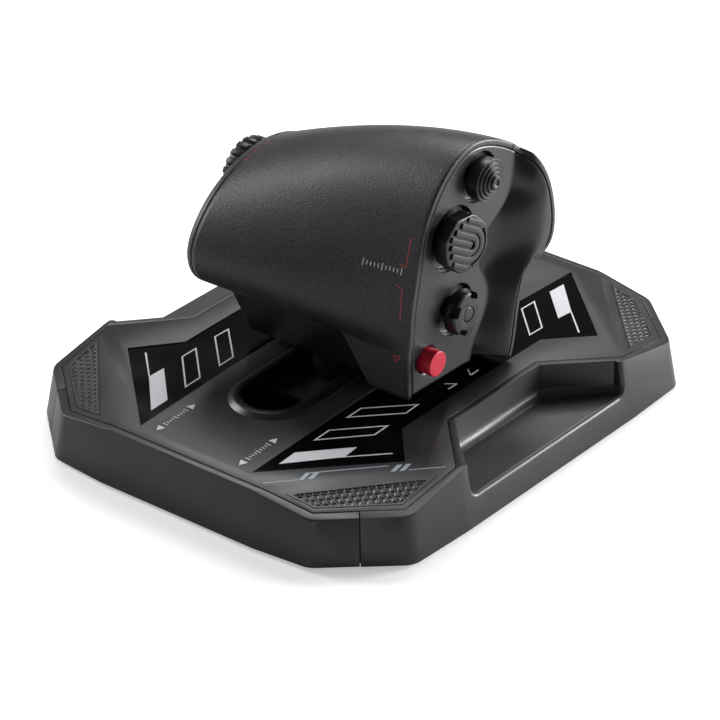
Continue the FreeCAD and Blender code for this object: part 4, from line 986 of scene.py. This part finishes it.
@dataclass
class KnurledPads:
    """The four corner pads: a flat frame round a field of small three-sided pyramids."""

    deck: Deck
    inset: float = 2.4
    fold_gap: float = 4.6
    proud: float = 0.3
    thick: float = 1.4
    pitch: float = 2.75
    groove: float = 0.42
    frame_wide: float = 0.75
    frame_low: float = 0.1
    frame_ease: float = 0.35
    corner_soft: float = 1.6
    sunk: float = 0.6
    slope: float = 1.1
    tallest: float = 0.5
    step: float = 0.2

    @staticmethod
    def inward(ring: Array) -> Array:
        """Unit normals of a ring's sides, towards its middle."""
        normal = beside(unit(np.roll(ring, -1, axis=0) - ring))
        return normal * np.sign(np.sum((ring.mean(axis=0) - ring) * normal, axis=1))[:, None]

    def corners(self) -> Array:
        """The pad's four plan corners in the first quarter: the flap set in on three sides and back
        from its fold on the fourth."""
        d = self.deck
        ring = np.array([d.bend, d.tip, d.side, d.waist_corner])
        normal = self.inward(ring)
        inset = np.array([self.inset, self.inset, self.inset, self.fold_gap])
        corners = []
        for i in range(4):
            lines = np.stack([normal[i - 1], normal[i]])
            target = [normal[i - 1] @ ring[i - 1] + inset[i - 1], normal[i] @ ring[i] + inset[i]]
            corners.append(np.linalg.solve(lines, target))
        return np.array(corners)

    def relief(self, flat: Array, corners: Array) -> Array:
        """Height over the pad: the frame, a step down, then pyramids between three sets of grooves.

        Across each of three directions 60 degrees apart, t is the distance to the nearest groove
        line; a pyramid's height is the slope times what the least t has over the groove's half
        width, held between 0 and the tallest. The frame's inner edge follows -log(sum of exp(-k d)) / k
        over the distances d to the four sides, which rounds its corners.
        """
        away = np.einsum("pij,ij->pi", flat[:, None, :] - corners[None], self.inward(corners))
        edge = -np.log(np.sum(np.exp(-self.corner_soft * away), axis=1)) / self.corner_soft
        fold = corners[0] - corners[3]
        start = math.atan2(fold[1], fold[0])
        heights = []
        for k in range(3):
            a = start + math.pi / 2 + k * math.pi / 3
            across = (flat - corners[3]) @ np.array([math.cos(a), math.sin(a)]) / self.pitch
            heights.append(np.abs(across - np.round(across)) * self.pitch)
        height = np.min(heights, axis=0)
        pyramid = np.clip((height - self.groove / 2) * self.slope, 0.0, self.tallest)
        inside = smooth((edge - self.frame_wide) / self.frame_ease)
        return self.proud - self.frame_low - inside * (self.sunk - pyramid)

    def build(self) -> None:
        """Build and dress all four pads, mirrored from the first."""
        corners = self.corners()
        fold = np.linalg.norm(corners[0] - corners[3])
        wide = np.linalg.norm(corners[1] - corners[0])
        n, m = int(fold / self.step), int(wide / self.step) + 12
        flat, quads, rim = spread(np.roll(corners, 1, axis=0), n, m)
        top = self.relief(flat, corners)
        low = self.proud - self.thick
        floor = m * n + np.arange(len(rim))
        skirt = np.stack([rim, np.roll(rim, -1), np.roll(floor, -1), floor], axis=1)
        names = {(1, 1): "pad_front_right", (-1, 1): "pad_front_left", (1, -1): "pad_rear_right",
                 (-1, -1): "pad_rear_left"}
        for (sx, sy), node in names.items():
            plan = flat * np.array([sx, sy])
            points = np.column_stack([plan, self.deck.height(plan[:, 0], plan[:, 1]) + top])
            under = np.column_stack([plan[rim], self.deck.height(plan[rim, 0], plan[rim, 1]) + low])
            faces = quads.tolist() + skirt.tolist() + [floor.tolist()]
            obj = recalculated(as_mesh(node + "_knurl", np.concatenate([points, under]), faces), 1e-7)
            dress(sharpen(obj, 38), Finish.PAD, "base", [node])


# ---------------------------------------------------------------- the thumb panel
@dataclass(frozen=True)
class Bore:
    """A round hole in the thumb panel, with rings of points over its well or its rounded edge."""

    y: float
    z: float
    radius: float
    edge: float
    steps: tuple[float, ...]

    def ring(self, radius: float) -> Array:
        """Points of a circle about the hole's centre."""
        turn = np.linspace(0, 2 * math.pi, 72, endpoint=False)
        return np.column_stack([self.y + radius * np.cos(turn), self.z + radius * np.sin(turn)])

    def away(self, points: Array) -> Array:
        """Distance of each point from the hole's centre."""
        return np.hypot(points[:, 0] - self.y, points[:, 1] - self.z)

    def outside(self, points: Array) -> Array:
        """Whether each point lies clear outside the rings."""
        return self.away(points) > self.edge + self.steps[-1] + 0.5

    def between(self, points: Array) -> Array:
        """Whether each point lies clear between the hole and the first ring."""
        rho = self.away(points)
        return (rho > self.radius + 0.5) & (rho < self.edge + self.steps[0] - 0.5)


@dataclass
class ThumbPanel:
    """The thumb panel: a sheet over its outline, with the ridge and its bead, the valley, the finger
    bulge and a steep narrow-walled well round each hat."""

    form: GripForm
    inset: float = 2.7
    thick: float = 2.8
    rim_round: float = 0.9
    step: float = 0.9
    bead: float = 0.3
    bead_wide: float = 0.55
    well_edge: float = 0.9
    well_wall: float = 1.0
    stem_hole: float = 5.0
    red_gap: float = 0.3
    red_round: float = 0.9
    clear: float = 1.9
    rim_rings: tuple = (0.12, 0.3, 0.55, 0.9, 1.5)
    well_rings: tuple = (0.85, 1.0, 1.15, 1.3, 1.45, 1.6, 1.75, 1.9, 2.3)
    red_rings: tuple = (0.3, 0.6, 0.9, 1.5)
    ridge_lines: tuple = (-1.2, -0.75, -0.4, 0.0, 0.4, 0.75, 1.2)

    def outline(self) -> Array:
        """The panel's outline as an even closed loop of (y, z)."""
        form, a = self.form, self.inset
        notch_y = form.notch[1]
        head = np.vstack([[form.under_rear], form.thumb_end, [[notch_y, float(form.under_z(notch_y))]]])
        inner = head + a * beside(unit(np.roll(head, -1, axis=0) - np.roll(head, 1, axis=0)))
        leg = np.array(form.leg) - [a, 0.0]
        leg[-1, 1] += 0.6
        knots = np.vstack([[[-38.5 + a, 50.0]], inner[1:-1], leg[:1]])
        curve = spline(knots[None], 260)[0]
        foot = (form.ridge[0][1], form.apron_low - 0.2)
        whole = np.vstack([[[-38.6 + a, form.apron_low + 0.6]], curve, leg[1:], [foot]])
        closed = np.vstack([whole, whole[:1]])
        length = float(np.linalg.norm(np.diff(closed, axis=0), axis=1).sum())
        return resampled(closed[None], np.zeros(1), np.ones(1), int(length / 0.7) + 1)[0][:-1]

    @staticmethod
    def inward(loop: Array, amount: float) -> Array:
        """A loop moved inward, square to its run."""
        return loop + amount * beside(unit(np.roll(loop, -2, axis=0) - np.roll(loop, 2, axis=0)))

    @staticmethod
    def distance(points: Array, loop: Array) -> Array:
        """Distance of each point from a closed loop's sides."""
        a, b = loop, np.roll(loop, -1, axis=0)
        run = b - a
        span = np.sum(run * run, axis=1)
        t = np.clip(np.einsum("pij,ij->pi", points[:, None] - a[None], run) / span, 0, 1)
        near = a[None] + t[..., None] * run[None]
        return np.linalg.norm(points[:, None] - near, axis=2).min(axis=1)

    @staticmethod
    def inside(points: Array, loop: Array) -> Array:
        """Whether each point lies inside a closed loop, by counting the sides above it."""
        a, b = loop, np.roll(loop, -1, axis=0)
        spans = (a[None, :, 0] > points[:, None, 0]) != (b[None, :, 0] > points[:, None, 0])
        rise = (b[:, 1] - a[:, 1]) / np.where(b[:, 0] == a[:, 0], 1e-9, b[:, 0] - a[:, 0])
        level = a[None, :, 1] + (points[:, None, 0] - a[None, :, 0]) * rise[None]
        return (np.sum(spans & (level > points[:, None, 1]), axis=1) % 2) == 1

    def face_x(self, flat: Array, loop: Array) -> Array:
        """x of the panel's outer face with its bead, less the wells, the bore's edge and the rim's
        rounding."""
        form, r = self.form, self.rim_round
        x = form.panel_x(flat[:, 0], flat[:, 1])
        for y, z, radius in form.wells:
            rho = np.hypot(flat[:, 0] - y, flat[:, 1] - z)
            x = x - form.well_depth * (1 - smooth((rho - radius - self.well_edge) / self.well_wall))
        off = (flat[:, 0] - line_y(form.ridge, flat[:, 1])) / self.bead_wide
        x = x + self.bead * np.exp(-off * off)
        y, z, radius = form.red
        rho = np.hypot(flat[:, 0] - y, flat[:, 1] - z) - radius - self.red_gap
        x = x - 0.5 * (1 - smooth(rho / self.red_round)) ** 2
        d = np.clip(self.distance(flat, loop), 0, r)
        return x - (r - np.sqrt(np.maximum(r * r - (r - d) ** 2, 0)))

    def plan(self, loop: Array, bores: Sequence[Bore]) -> tuple[Array, list[tuple[int, int]]]:
        """Points of the panel's plan: the outline, rings inside it, rings at each bore, an even grid
        and lines beside the ridge.

        Returns:
            The points, and the outline's and bores' edges as pairs of point numbers.
        """
        def open_ground(points: Array) -> Array:
            """Whether each point lies inside the outline and clear of it."""
            return self.inside(points, loop) & (self.distance(points, loop) > self.clear)

        sets = [loop] + [self.inward(loop, amount) for amount in self.rim_rings]
        edges = [(i, (i + 1) % len(loop)) for i in range(len(loop))]
        start = sum(map(len, sets))
        for bore in bores:
            ring = bore.ring(bore.radius)
            edges += [(start + i, start + (i + 1) % len(ring)) for i in range(len(ring))]
            sets.append(ring)
            start += len(ring)
        for bore in bores:
            sets += [bore.ring(bore.edge + step) for step in bore.steps]
        low, high = loop.min(axis=0), loop.max(axis=0)
        grid = np.stack(np.meshgrid(np.arange(low[0], high[0], self.step),
                                    np.arange(low[1], high[1], self.step)), axis=-1).reshape(-1, 2)
        keep = open_ground(grid)
        for bore in bores:
            keep &= bore.outside(grid) | bore.between(grid)
        off = np.abs(grid[:, 0] - line_y(self.form.ridge, grid[:, 1]))
        sets.append(grid[keep & (off > self.ridge_lines[-1] + 0.4)])
        rows = np.arange(low[1], high[1], 0.7)
        for off in self.ridge_lines:
            line = np.column_stack([line_y(self.form.ridge, rows) + off, rows])
            keep = open_ground(line)
            for bore in bores:
                keep &= bore.outside(line)
            sets.append(line[keep])
        return np.concatenate(sets), edges

    def build(self) -> None:
        """Build and dress the panel.

        The plan's points are joined into triangles, each point takes its x from face_x, and a copy
        moved back by the wall is joined round every edge.
        """
        loop = self.outline()
        bores = [Bore(y, z, self.stem_hole, radius, self.well_rings) for y, z, radius in self.form.wells]
        red_y, red_z, red_r = self.form.red
        bores.append(Bore(red_y, red_z, red_r + self.red_gap, red_r + self.red_gap, self.red_rings))
        plan, edges = self.plan(loop, bores)
        result = delaunay_2d_cdt([Vector(p) for p in plan.tolist()], edges, [], 0, 1e-6)
        flat = np.array([tuple(v) for v in result[0]])
        tris = np.array([t for t in result[2] if len(t) == 3])
        middle = flat[tris].mean(axis=1)
        good = self.inside(middle, loop)
        for bore in bores:
            good &= bore.away(middle) > bore.radius * 0.995
        tris = tris[good]
        x = self.face_x(flat, loop)
        pairs = np.concatenate([tris[:, [0, 1]], tris[:, [1, 2]], tris[:, [2, 0]]]).tolist()
        turned_back = {(b, a) for a, b in pairs}
        count = len(flat)
        sides = [[b, a, a + count, b + count] for a, b in pairs if (a, b) not in turned_back]
        faces = tris.tolist() + (tris[:, ::-1] + count).tolist() + sides
        points = np.concatenate([np.column_stack([x, flat]), np.column_stack([x - self.thick, flat])])
        obj = as_mesh("thumb_panel_moulding", points, faces)
        with edited(obj.data) as bm:
            bmesh.ops.delete(bm, geom=[v for v in bm.verts if not v.link_faces], context="VERTS")
        dress(sharpen(recalculated(obj, 1e-7), 45), Finish.PANEL, "slider",
              ["thumb_panel"])


# ---------------------------------------------------------------- the thumb controls
@dataclass
class ThumbHats:
    """The three thumb hats and the button in the middle of the lowest."""

    form: GripForm
    under: float = 53.7
    faces: tuple[float, float, float] = (63.1, 62.5, 60.7)
    stretch: float = 1.2
    stem_r: float = 2.6
    face_turn: float = -30.0
    notch_turn: float = -26.0
    stem_end: float = 44.4
    centre_r: float = 3.2
    ring_steps: int = 5
    ring_rise: float = 0.8
    bar_high: float = 1.0

    def stem_profile(self) -> list[Pair]:
        """The stem from its far end to the cap's underside."""
        return [(0.0, self.stem_end), (self.stem_r, self.stem_end), (self.stem_r, self.under)]

    @staticmethod
    def fit(obj: bpy.types.Object, node: str) -> None:
        """Dress a control that rides the body of its own CAD node."""
        dress(obj, Finish.CONTROL, node, [node])

    def face_bar(self, path: Sequence, width: float, lift: float = 0.0) -> tuple[Array, Array]:
        """A bar on the middle hat's face, its path turned about the face's centre."""
        a = math.radians(self.face_turn)
        path = np.array(path) @ np.array([[math.cos(a), math.sin(a)], [-math.sin(a), math.cos(a)]])
        top = self.faces[1]
        return bar(path, width, top - self.bar_high - 0.4, top + lift, self.form.wells[1][:2])

    def top_hat(self) -> None:
        """Tall round cap with stepped rings that rise to a small dimple."""
        y, z, r = self.form.wells[0]
        u = self.under
        high = self.faces[0] - u
        last = self.ring_steps - 1
        rings = [(1 - 0.17 * i, high + self.ring_rise * (i - last)) for i in range(last + 1)]
        line = self.stem_profile() + [(r - 0.5, u), (r, u + 0.5)]
        soft = [0, 0.3, 0.3, 0.5, 0.3]
        for i, (share, rise) in enumerate(rings):
            line += [(r * share, u + rise)]
            soft += [0.35]
            if i < last:
                line += [(r * rings[i + 1][0] + 0.15, u + rise - 0.3)]
                soft += [0.12]
        line += [(r * 0.17, u + high), (r * 0.1, u + high - 0.7), (0.0, u + high - 0.7)]
        soft += [0.3, 0.2, 0]
        self.fit(turned("top_hat_cap", softened(line, soft), (y, z), steps=128), "top_hat")

    def middle_hat(self) -> None:
        """Tall eight-sided cap; its face carries nested bars that bend back round a short centre bar.

        The eight sides come from the factor (sum over four axes of |cos(a - k 45 deg)|^26)^(-1/26).
        The part above the face's foot is drawn out along the bars by the stretch.
        """
        y, z, r = self.form.wells[1]
        u = self.under
        flat_r = r * 0.945

        def eight(a: Array) -> Array:
            """Factor on the radius that makes the turned form eight-sided with soft corners."""
            total = sum(np.abs(np.cos(a - k * math.pi / 4)) ** 26 for k in range(4))
            return total ** (-1 / 26)

        face = self.faces[1] - self.bar_high
        stem = turned("middle_hat_stem", self.stem_profile() + [(self.stem_r, u + 0.4), (0.0, u + 0.4)],
                      (y, z))
        cap = turned("middle_hat_body", softened([(0.0, u), (flat_r - 0.8, u), (flat_r, u + 0.8),
                                                  (flat_r, face - 0.2), (flat_r - 0.9, face),
                                                  (0.0, face)], [0, 0.4, 0.5, 0.4, 0.3, 0]),
                     (y, z), eight, 192)
        bend = np.linspace(-math.pi / 2, math.pi / 2, 25)
        shapes = [self.face_bar([(-10.6, 0.0), (-3.0, 0.0), (1.7, 0.0)], 2.3)]
        for radius, left, lift in ((3.2, -9.4, 0.0), (6.4, -7.2, -0.15)):
            arc = np.column_stack([1.6 + radius * np.cos(bend), radius * np.sin(bend)])
            run = np.linspace(left, 1.4, 8)
            path = np.concatenate([np.column_stack([run, np.full(8, -radius)]), arc,
                                   np.column_stack([run[::-1], np.full(8, radius)])])
            shapes.append(self.face_bar(path, 2.45, lift))
        shapes += [self.face_bar([(-4.4, y), (0.0, y), (3.6, y)], 2.2, -0.35) for y in (-9.5, 9.5)]
        lip = np.linspace(-0.86, 0.86, 25)
        shapes.append(self.face_bar(10.2 * np.column_stack([np.cos(lip), np.sin(lip)]), 0.8, -0.2))
        ribs = patches("middle_hat_bars", shapes)
        obj = join("middle_hat_cap", [cap, stem, ribs])
        turn = math.radians(self.face_turn)
        along = np.array([math.cos(turn), math.sin(turn)])
        flat = np.empty(len(obj.data.vertices) * 3)
        obj.data.vertices.foreach_get("co", flat)
        points = flat.reshape(-1, 3) / MM
        reach = (points[:, 1:] - [y, z]) @ along
        share = (self.stretch - 1) * smooth((points[:, 0] - (face - 2.4)) / 0.6)
        points[:, 1:] += (reach * share)[:, None] * along
        obj.data.vertices.foreach_set("co", (points * MM).ravel())
        self.fit(sharpen(obj, 40), "middle_hat")

    def lower_hat(self) -> None:
        """Round cap with four square notches, softened from its CAD solid, and its centre button."""
        y, z, _ = self.form.wells[2]
        cap = softened_copy("lower_hat", "lower_hat_cap", 0.35, 40)
        a = math.radians(self.notch_turn)
        for vert in cap.data.vertices:
            dy, dz = vert.co.y - y * MM, vert.co.z - z * MM
            vert.co.y = y * MM + dy * math.cos(a) - dz * math.sin(a)
            vert.co.z = z * MM + dy * math.sin(a) + dz * math.cos(a)
        self.fit(cap, "lower_hat")
        low = self.faces[2] - 2.4
        high = self.faces[2] + 0.05
        line = softened([(0.0, low), (self.centre_r, low), (self.centre_r, high), (0.0, high + 0.15)],
                        [0, 0.2, 0.5, 0])
        self.fit(turned("centre_button_cap", line, (y, z)), "centre_button")

    def build(self) -> None:
        """Build all three hats."""
        self.top_hat()
        self.middle_hat()
        self.lower_hat()


@dataclass
class RedButton:
    """The red push button: a turned cap with a soft edge and a slightly crowned face."""

    form: GripForm
    back: float = 49.0
    face: float = 59.9

    def build(self) -> None:
        """Build and dress the button."""
        y, z, r = self.form.red
        line = softened([(0.0, self.back), (r, self.back), (r, self.face - 0.3), (r - 0.6, self.face - 0.1),
                         (0.0, self.face)], [0, 0.2, 0.6, 0.5, 0])
        dress(turned("red_button_cap", line, (y, z)), Finish.RED, "red_button",
              ["red_button"])


@dataclass
class RidgedWheel:
    """The ridged wheel on the far end: a disc whose rim rises and falls in round-ended teeth."""

    centre: Pair = (-4.2, 91.0)
    radius: float = 16.3
    inner: float = -53.8
    wide: float = 7.0
    teeth: int = 22
    tooth_deep: float = 1.5
    shaft_r: float = 3.0
    shaft_end: float = -44.5

    def build(self) -> None:
        """Build and dress the wheel.

        A point at radius r goes to r - deep share s(a), where s = smooth((0.15 + 0.5 cos(teeth a)) /
        0.5) is 0 on a tooth and 1 in a groove, and share is how far the teeth reach there.
        """
        steps = self.teeth * 20
        a = np.linspace(0, 2 * math.pi, steps, endpoint=False)
        groove = smooth((0.5 + 0.5 * np.cos(self.teeth * a) - 0.35) / 0.5)
        outer = self.inner - self.wide
        line = [(0.0, self.shaft_end, 0), (self.shaft_r, self.shaft_end, 0),
                (self.shaft_r, self.inner, 0), (10.0, self.inner, 0), (13.5, self.inner, 0.2),
                (self.radius - 0.8, self.inner, 1), (self.radius - 0.25, self.inner - 0.25, 1),
                (self.radius, self.inner - 0.8, 1), (self.radius, outer + 1.6, 1),
                (self.radius - 0.35, outer + 0.8, 0.9), (self.radius - 1.1, outer + 0.2, 0.7),
                (self.radius - 2.0, outer, 0.4), (12.6, outer, 0.1), (12.0, outer + 0.3, 0),
                (11.6, outer + 0.6, 0), (4.0, outer + 0.6, 0), (0.0, outer + 0.6, 0)]
        r, x, share = np.array(line).T
        reach = r[:, None] - self.tooth_deep * share[:, None] * groove[None]
        obj = wound("ridged_wheel", x, reach, self.centre, 42)
        dress(obj, Finish.CONTROL, "rotary_knob", ["rotary_knob"])


# ---------------------------------------------------------------- printed marks
@dataclass
class BaseMarks:
    """Plain printed marks on the base: bars and frames on the gloss sheets, arrows and ticks beside
    the slot, and a line with slashes along the rear fold."""

    deck: Deck
    sheet_sink: float = 0.5
    ink: float = 0.06
    line: float = 0.65

    def printed(self, quads: Sequence, sink: float = 0.0) -> list[tuple[Array, Array]]:
        """Thin patches of ink over four-cornered outlines, on the top surface or sunk below it."""
        return [patch(quad, self.deck.lay, -sink - 0.02, -sink + self.ink, 3.0) for quad in quads]

    def on_sheet(self) -> list[tuple[Array, Array]]:
        """Marks of both gloss sheets, mirrored to all four quarters."""
        quads = [[(33.82, 96.33), (33.725, 86.26), (51.3, 68.4), (51.87, 77.14)],
                 [(51.68, 77.52), (51.775, 76.665), (65.36, 63.27), (65.93, 63.84)],
                 [(48.83, 7.6475), (52.82, 4.3225), (53.2, 4.7975), (49.21, 8.1225)],
                 [(52.6965, 4.56), (53.3235, 4.56), (53.1335, 10.26), (52.5065, 10.26)]]
        for outline in ([(34.01, 75.05), (34.01, 65.075), (51.395, 47.595), (51.49, 57.095)],
                        [(33.725, 53.77), (33.82, 44.08), (50.92, 27.17), (51.3, 36.29)]):
            quads += frame_strips(outline, self.line)
        quarters = [(-1, -1), (-1, 1), (1, -1), (1, 1)]
        return self.printed([np.array(quad) * quarter for quarter in quarters for quad in quads],
                            self.sheet_sink)

    def beside_slot(self) -> list[tuple[Array, Array]]:
        """An arrowhead at each end of a row of plain ticks, on both sides of the slot's rear."""
        quads = []
        for x in (-21.8, 21.8):
            quads += [[(x - 1.9, -103.4), (x, -106.8), (x, -106.8), (x + 1.9, -103.4)],
                      [(x - 1.9, -86.2), (x, -82.8), (x, -82.8), (x + 1.9, -86.2)]]
            for i in range(9):
                y = -101.2 + 1.6 * i
                half = 1.35 if i % 4 == 0 else 0.8
                quads.append([(x - half, y - 0.22), (x + half, y - 0.22), (x + half, y + 0.22),
                              (x - half, y + 0.22)])
        return self.printed(quads)

    def along_fold(self) -> list[tuple[Array, Array]]:
        """A thin line and two pairs of slashes in from the rear right fold."""
        a, b = np.array((36.6, -114.0)), np.array((92.6, -57.4))
        run = unit(b - a)
        back = -beside(run)

        def spot(along: float, across: float) -> Array:
            """Plan place, along the fold from its rear end and in from it."""
            return a + run * along + back * across

        quads = []
        for start, stop, at in ((3.0, 17.0, 0.7), (22.5, 53.5, 4.9), (61.0, 76.0, 0.7)):
            quads.append([spot(start, at), spot(stop, at), spot(stop, at + 0.55), spot(start, at + 0.55)])
        for start in (17.0, 20.6, 53.6, 57.2):
            quads.append([spot(start, 0.7), spot(start + 2.1, 0.7), spot(start + 5.5, 5.4),
                          spot(start + 3.4, 5.4)])
        return self.printed(quads)

    def build(self) -> None:
        """Build and dress the marks."""
        dress(patches("sheet_marks", self.on_sheet()), Finish.WHITE_INK, "base")
        dress(patches("slot_marks", self.beside_slot()), Finish.WHITE_INK, "base")
        dress(patches("fold_marks", self.along_fold()), Finish.GREY_INK, "base")


@dataclass
class GripMarks:
    """Plain printed marks on the palm shell: red lines, a red triangle, white ticks and the wheel's
    red graduation marks."""

    form: GripForm
    ink: float = 0.05
    line: float = 0.42

    def rear(self, flat: Array, lift: float) -> Array:
        """Places on the shell's rear face from (x, z), raised square to the section."""
        curves = self.form.section(flat[:, 0], 500)
        crest = curves[..., 1].argmax(axis=1)
        y = np.empty(len(flat))
        tilt = np.empty((len(flat), 2))
        for i, (curve, top) in enumerate(zip(curves, crest)):
            y[i] = np.interp(flat[i, 1], curve[:top, 1], curve[:top, 0])
            dy = np.interp(flat[i, 1] + 0.5, curve[:top, 1], curve[:top, 0]) - y[i]
            tilt[i] = np.array([-0.5, dy]) / math.hypot(0.5, dy)
        lower = flat[:, 1] < self.form.under_rear[1] + 1.5
        y = np.where(lower, self.form.under_rear[0], y)
        tilt = np.where(lower[:, None], np.array([[-1.0, 0.0]]), tilt)
        return np.column_stack([flat[:, 0], y + tilt[:, 0] * lift, flat[:, 1] + tilt[:, 1] * lift])

    def crest(self, flat: Array, lift: float) -> Array:
        """Places on the shell's crest from (x, y), raised straight up, from the section's middle run."""
        curves = self.form.section(flat[:, 0], 500)
        z = np.array([np.interp(p[1], c[120:420, 0], c[120:420, 1]) for p, c in zip(flat, curves)])
        return np.column_stack([flat, z + lift])

    def stroke(self, a: Pair, b: Pair, wide: float = 0.0) -> list[Array]:
        """Corners of a straight stroke from a to b."""
        p, q = np.array(a), np.array(b)
        side = -beside(unit(q - p)) * (wide or self.line) / 2
        return [p - side, q - side, q + side, p + side]

    def build(self) -> None:
        """Build and dress the marks."""
        red = [((48.6, 106.0), (48.9, 94.2)), ((48.9, 94.2), (45.2, 94.8)),
               ((45.6, 86.1), (48.7, 84.9)), ((48.7, 84.9), (49.4, 72.4)),
               ((46.4, 55.3), (50.0, 55.8)), ((50.0, 55.8), (48.1, 52.6)), ((48.1, 52.6), (46.4, 55.3))]
        shapes = [patch(self.stroke(a, b), self.rear, -0.02, self.ink, 1.0) for a, b in red]
        for i in range(6):
            y = -20.0 + 3.0 * i
            quad = self.stroke((-47.4, y), (-45.2 - (0.9 if i % 2 else 0.0), y), 0.45)
            shapes.append(patch(quad, self.crest, -0.02, self.ink, 1.0))
        dress(patches("grip_red_marks", shapes), Finish.RED_INK, "slider")
        white = []
        for i in range(11):
            x = 29.6 + 1.75 * i
            tall = 1.5 if i % 5 == 0 else 0.85
            white.append(patch(self.stroke((x, 91.9 - tall), (x, 91.9 + tall), 0.4), self.rear, -0.02,
                               self.ink, 1.0))
        dress(patches("grip_white_marks", white), Finish.WHITE_INK, "slider")


# ---------------------------------------------------------------- studio
@dataclass(frozen=True)
class Lamp:
    """One soft rectangular lamp."""

    name: str
    place: tuple[float, float, float]
    aim: tuple[float, float, float]
    size: Pair
    watts: float

    def hang(self) -> None:
        """Add the lamp, turned from its place to its aim."""
        light = bpy.data.lights.new(self.name, "AREA")
        light.shape = "RECTANGLE"
        light.size, light.size_y = self.size
        light.energy = self.watts
        obj = linked(self.name, light)
        obj.location = self.place
        run = Vector(self.aim) - Vector(self.place)
        obj.rotation_euler = run.to_track_quat("-Z", "Y").to_euler()


@dataclass
class Studio:
    """Plain pale floor, soft lamps, world and camera."""

    target: tuple[float, float, float] = (0.00993, -0.01466, 0.02945)
    azimuth: float = 38.638
    elevation: float = 29.515
    distance: float = 1.6148
    lens: float = 194.25
    sensor: float = 36.0
    floor_half: float = 6000.0
    floor_lift: float = 0.42
    surround: float = 0.13
    lamps: tuple = (
        Lamp("overhead softbox", (-0.40, 0.75, 1.15), (0.0, 0.0, 0.08), (1.0, 0.6), 14.0),
        Lamp("left softbox", (-1.35, -0.35, 0.75), (0.0, 0.0, 0.08), (0.5, 0.9), 14.0),
        Lamp("right softbox", (0.85, 1.25, 0.36), (0.05, 0.0, 0.06), (0.6, 0.6), 36.0),
    )

    def floor(self) -> None:
        """A large pale floor that looks white to the camera and keeps the shadow."""
        points = np.array([[-1, -1, 0], [1, -1, 0], [1, 1, 0], [-1, 1, 0]], float) * self.floor_half
        obj = as_mesh("studio_floor", points, [[0, 1, 2, 3]], smooth=False)
        mat, tree = blank("pale studio floor")
        shader = add(tree, "ShaderNodeBsdfPrincipled", {"Base Color": linear("#f2f2f2"), "Roughness": 0.9})
        path = add(tree, "ShaderNodeLightPath")
        lift = add(tree, "ShaderNodeMath", {"operation": "MULTIPLY", 1: self.floor_lift},
                   {0: path.outputs["Is Camera Ray"]})
        glow = add(tree, "ShaderNodeEmission", {"Color": (1, 1, 1, 1)}, {"Strength": lift.outputs[0]})
        both = add(tree, "ShaderNodeAddShader", links={0: shader.outputs[0], 1: glow.outputs[0]})
        add(tree, "ShaderNodeOutputMaterial", links={"Surface": both.outputs[0]})
        obj.data.materials.append(mat)

    def world(self) -> None:
        """An even pale surround, white to the camera and dimmer as a light."""
        world = bpy.data.worlds.new("studio surround")
        world.use_nodes = True
        tree = world.node_tree
        tree.nodes.clear()
        path = add(tree, "ShaderNodeLightPath")
        seen = add(tree, "ShaderNodeBackground", {"Color": (1, 1, 1, 1), "Strength": 1.0})
        lit = add(tree, "ShaderNodeBackground", {"Color": (1, 1, 1, 1), "Strength": self.surround})
        mix = add(tree, "ShaderNodeMixShader", links={0: path.outputs["Is Camera Ray"], 1: lit.outputs[0],
                                                      2: seen.outputs[0]})
        add(tree, "ShaderNodeOutputWorld", links={"Surface": mix.outputs[0]})
        bpy.context.scene.world = world

    def camera(self) -> None:
        """The camera, turned round the target by azimuth and elevation."""
        az, el = math.radians(self.azimuth), math.radians(self.elevation)
        back = Vector((math.sin(az) * math.cos(el), -math.cos(az) * math.cos(el), math.sin(el)))
        data = bpy.data.cameras.new("camera")
        data.lens = self.lens
        data.sensor_width = self.sensor
        obj = linked("camera", data)
        obj.location = Vector(self.target) + back * self.distance
        obj.rotation_euler = (-back).to_track_quat("-Z", "Y").to_euler()
        bpy.context.scene.camera = obj

    def set_up(self) -> None:
        """Build the studio."""
        self.floor()
        self.world()
        self.camera()
        for lamp in self.lamps:
            lamp.hang()
        bpy.context.scene.view_settings.view_transform = "Standard"


def main() -> None:
    """Build every part in order and dress the CAD nodes that stay."""
    logging.basicConfig(level=logging.INFO, format="%(message)s")
    form = GripForm()
    shells = GripShells(form)
    for shell, node in ((shells.palm, "palm_shell"), (shells.finger, "finger_shell"),
                        (shells.end_cap, "end_cap")):
        dress(shell(), Finish.GRAIN, "slider", [node])
    deck = Deck()
    for part in (BaseMouldings(), SlotCollar(deck), KnurledPads(deck), ThumbPanel(form), ThumbHats(form),
                 RedButton(form), RidgedWheel(), BaseMarks(deck), GripMarks(form)):
        part.build()
    dress(softened_copy("grip_hull", "grip_hull_moulding", 0.8, 40), Finish.DARK, "slider",
          ["grip_hull"])
    Studio().set_up()
    plain = {"dark_plastic": Finish.DARK, "shell_plastic": Finish.SHELL, "plate_plastic": Finish.PLATE,
             "grain_plastic": Finish.GRAIN, "inlay_gloss": Finish.GLOSS, "pad_rubber": Finish.PAD,
             "foot_rubber": Finish.FOOT, "control_plastic": Finish.CONTROL, "red_plastic": Finish.RED,
             "steel": Finish.ROD, "zinc_steel": Finish.ZINC, "bush_plastic": Finish.ACETAL,
             "board_green": Finish.BOARD, "magnet_nickel": Finish.NICKEL}
    for part in frame["record"]["subparts"]:
        data = frame["nodes"][part["node"]].data
        data.materials.clear()
        data.materials.append(finish_of(plain[part["material_slot"]]))


if __name__ == "__main__":
    main()
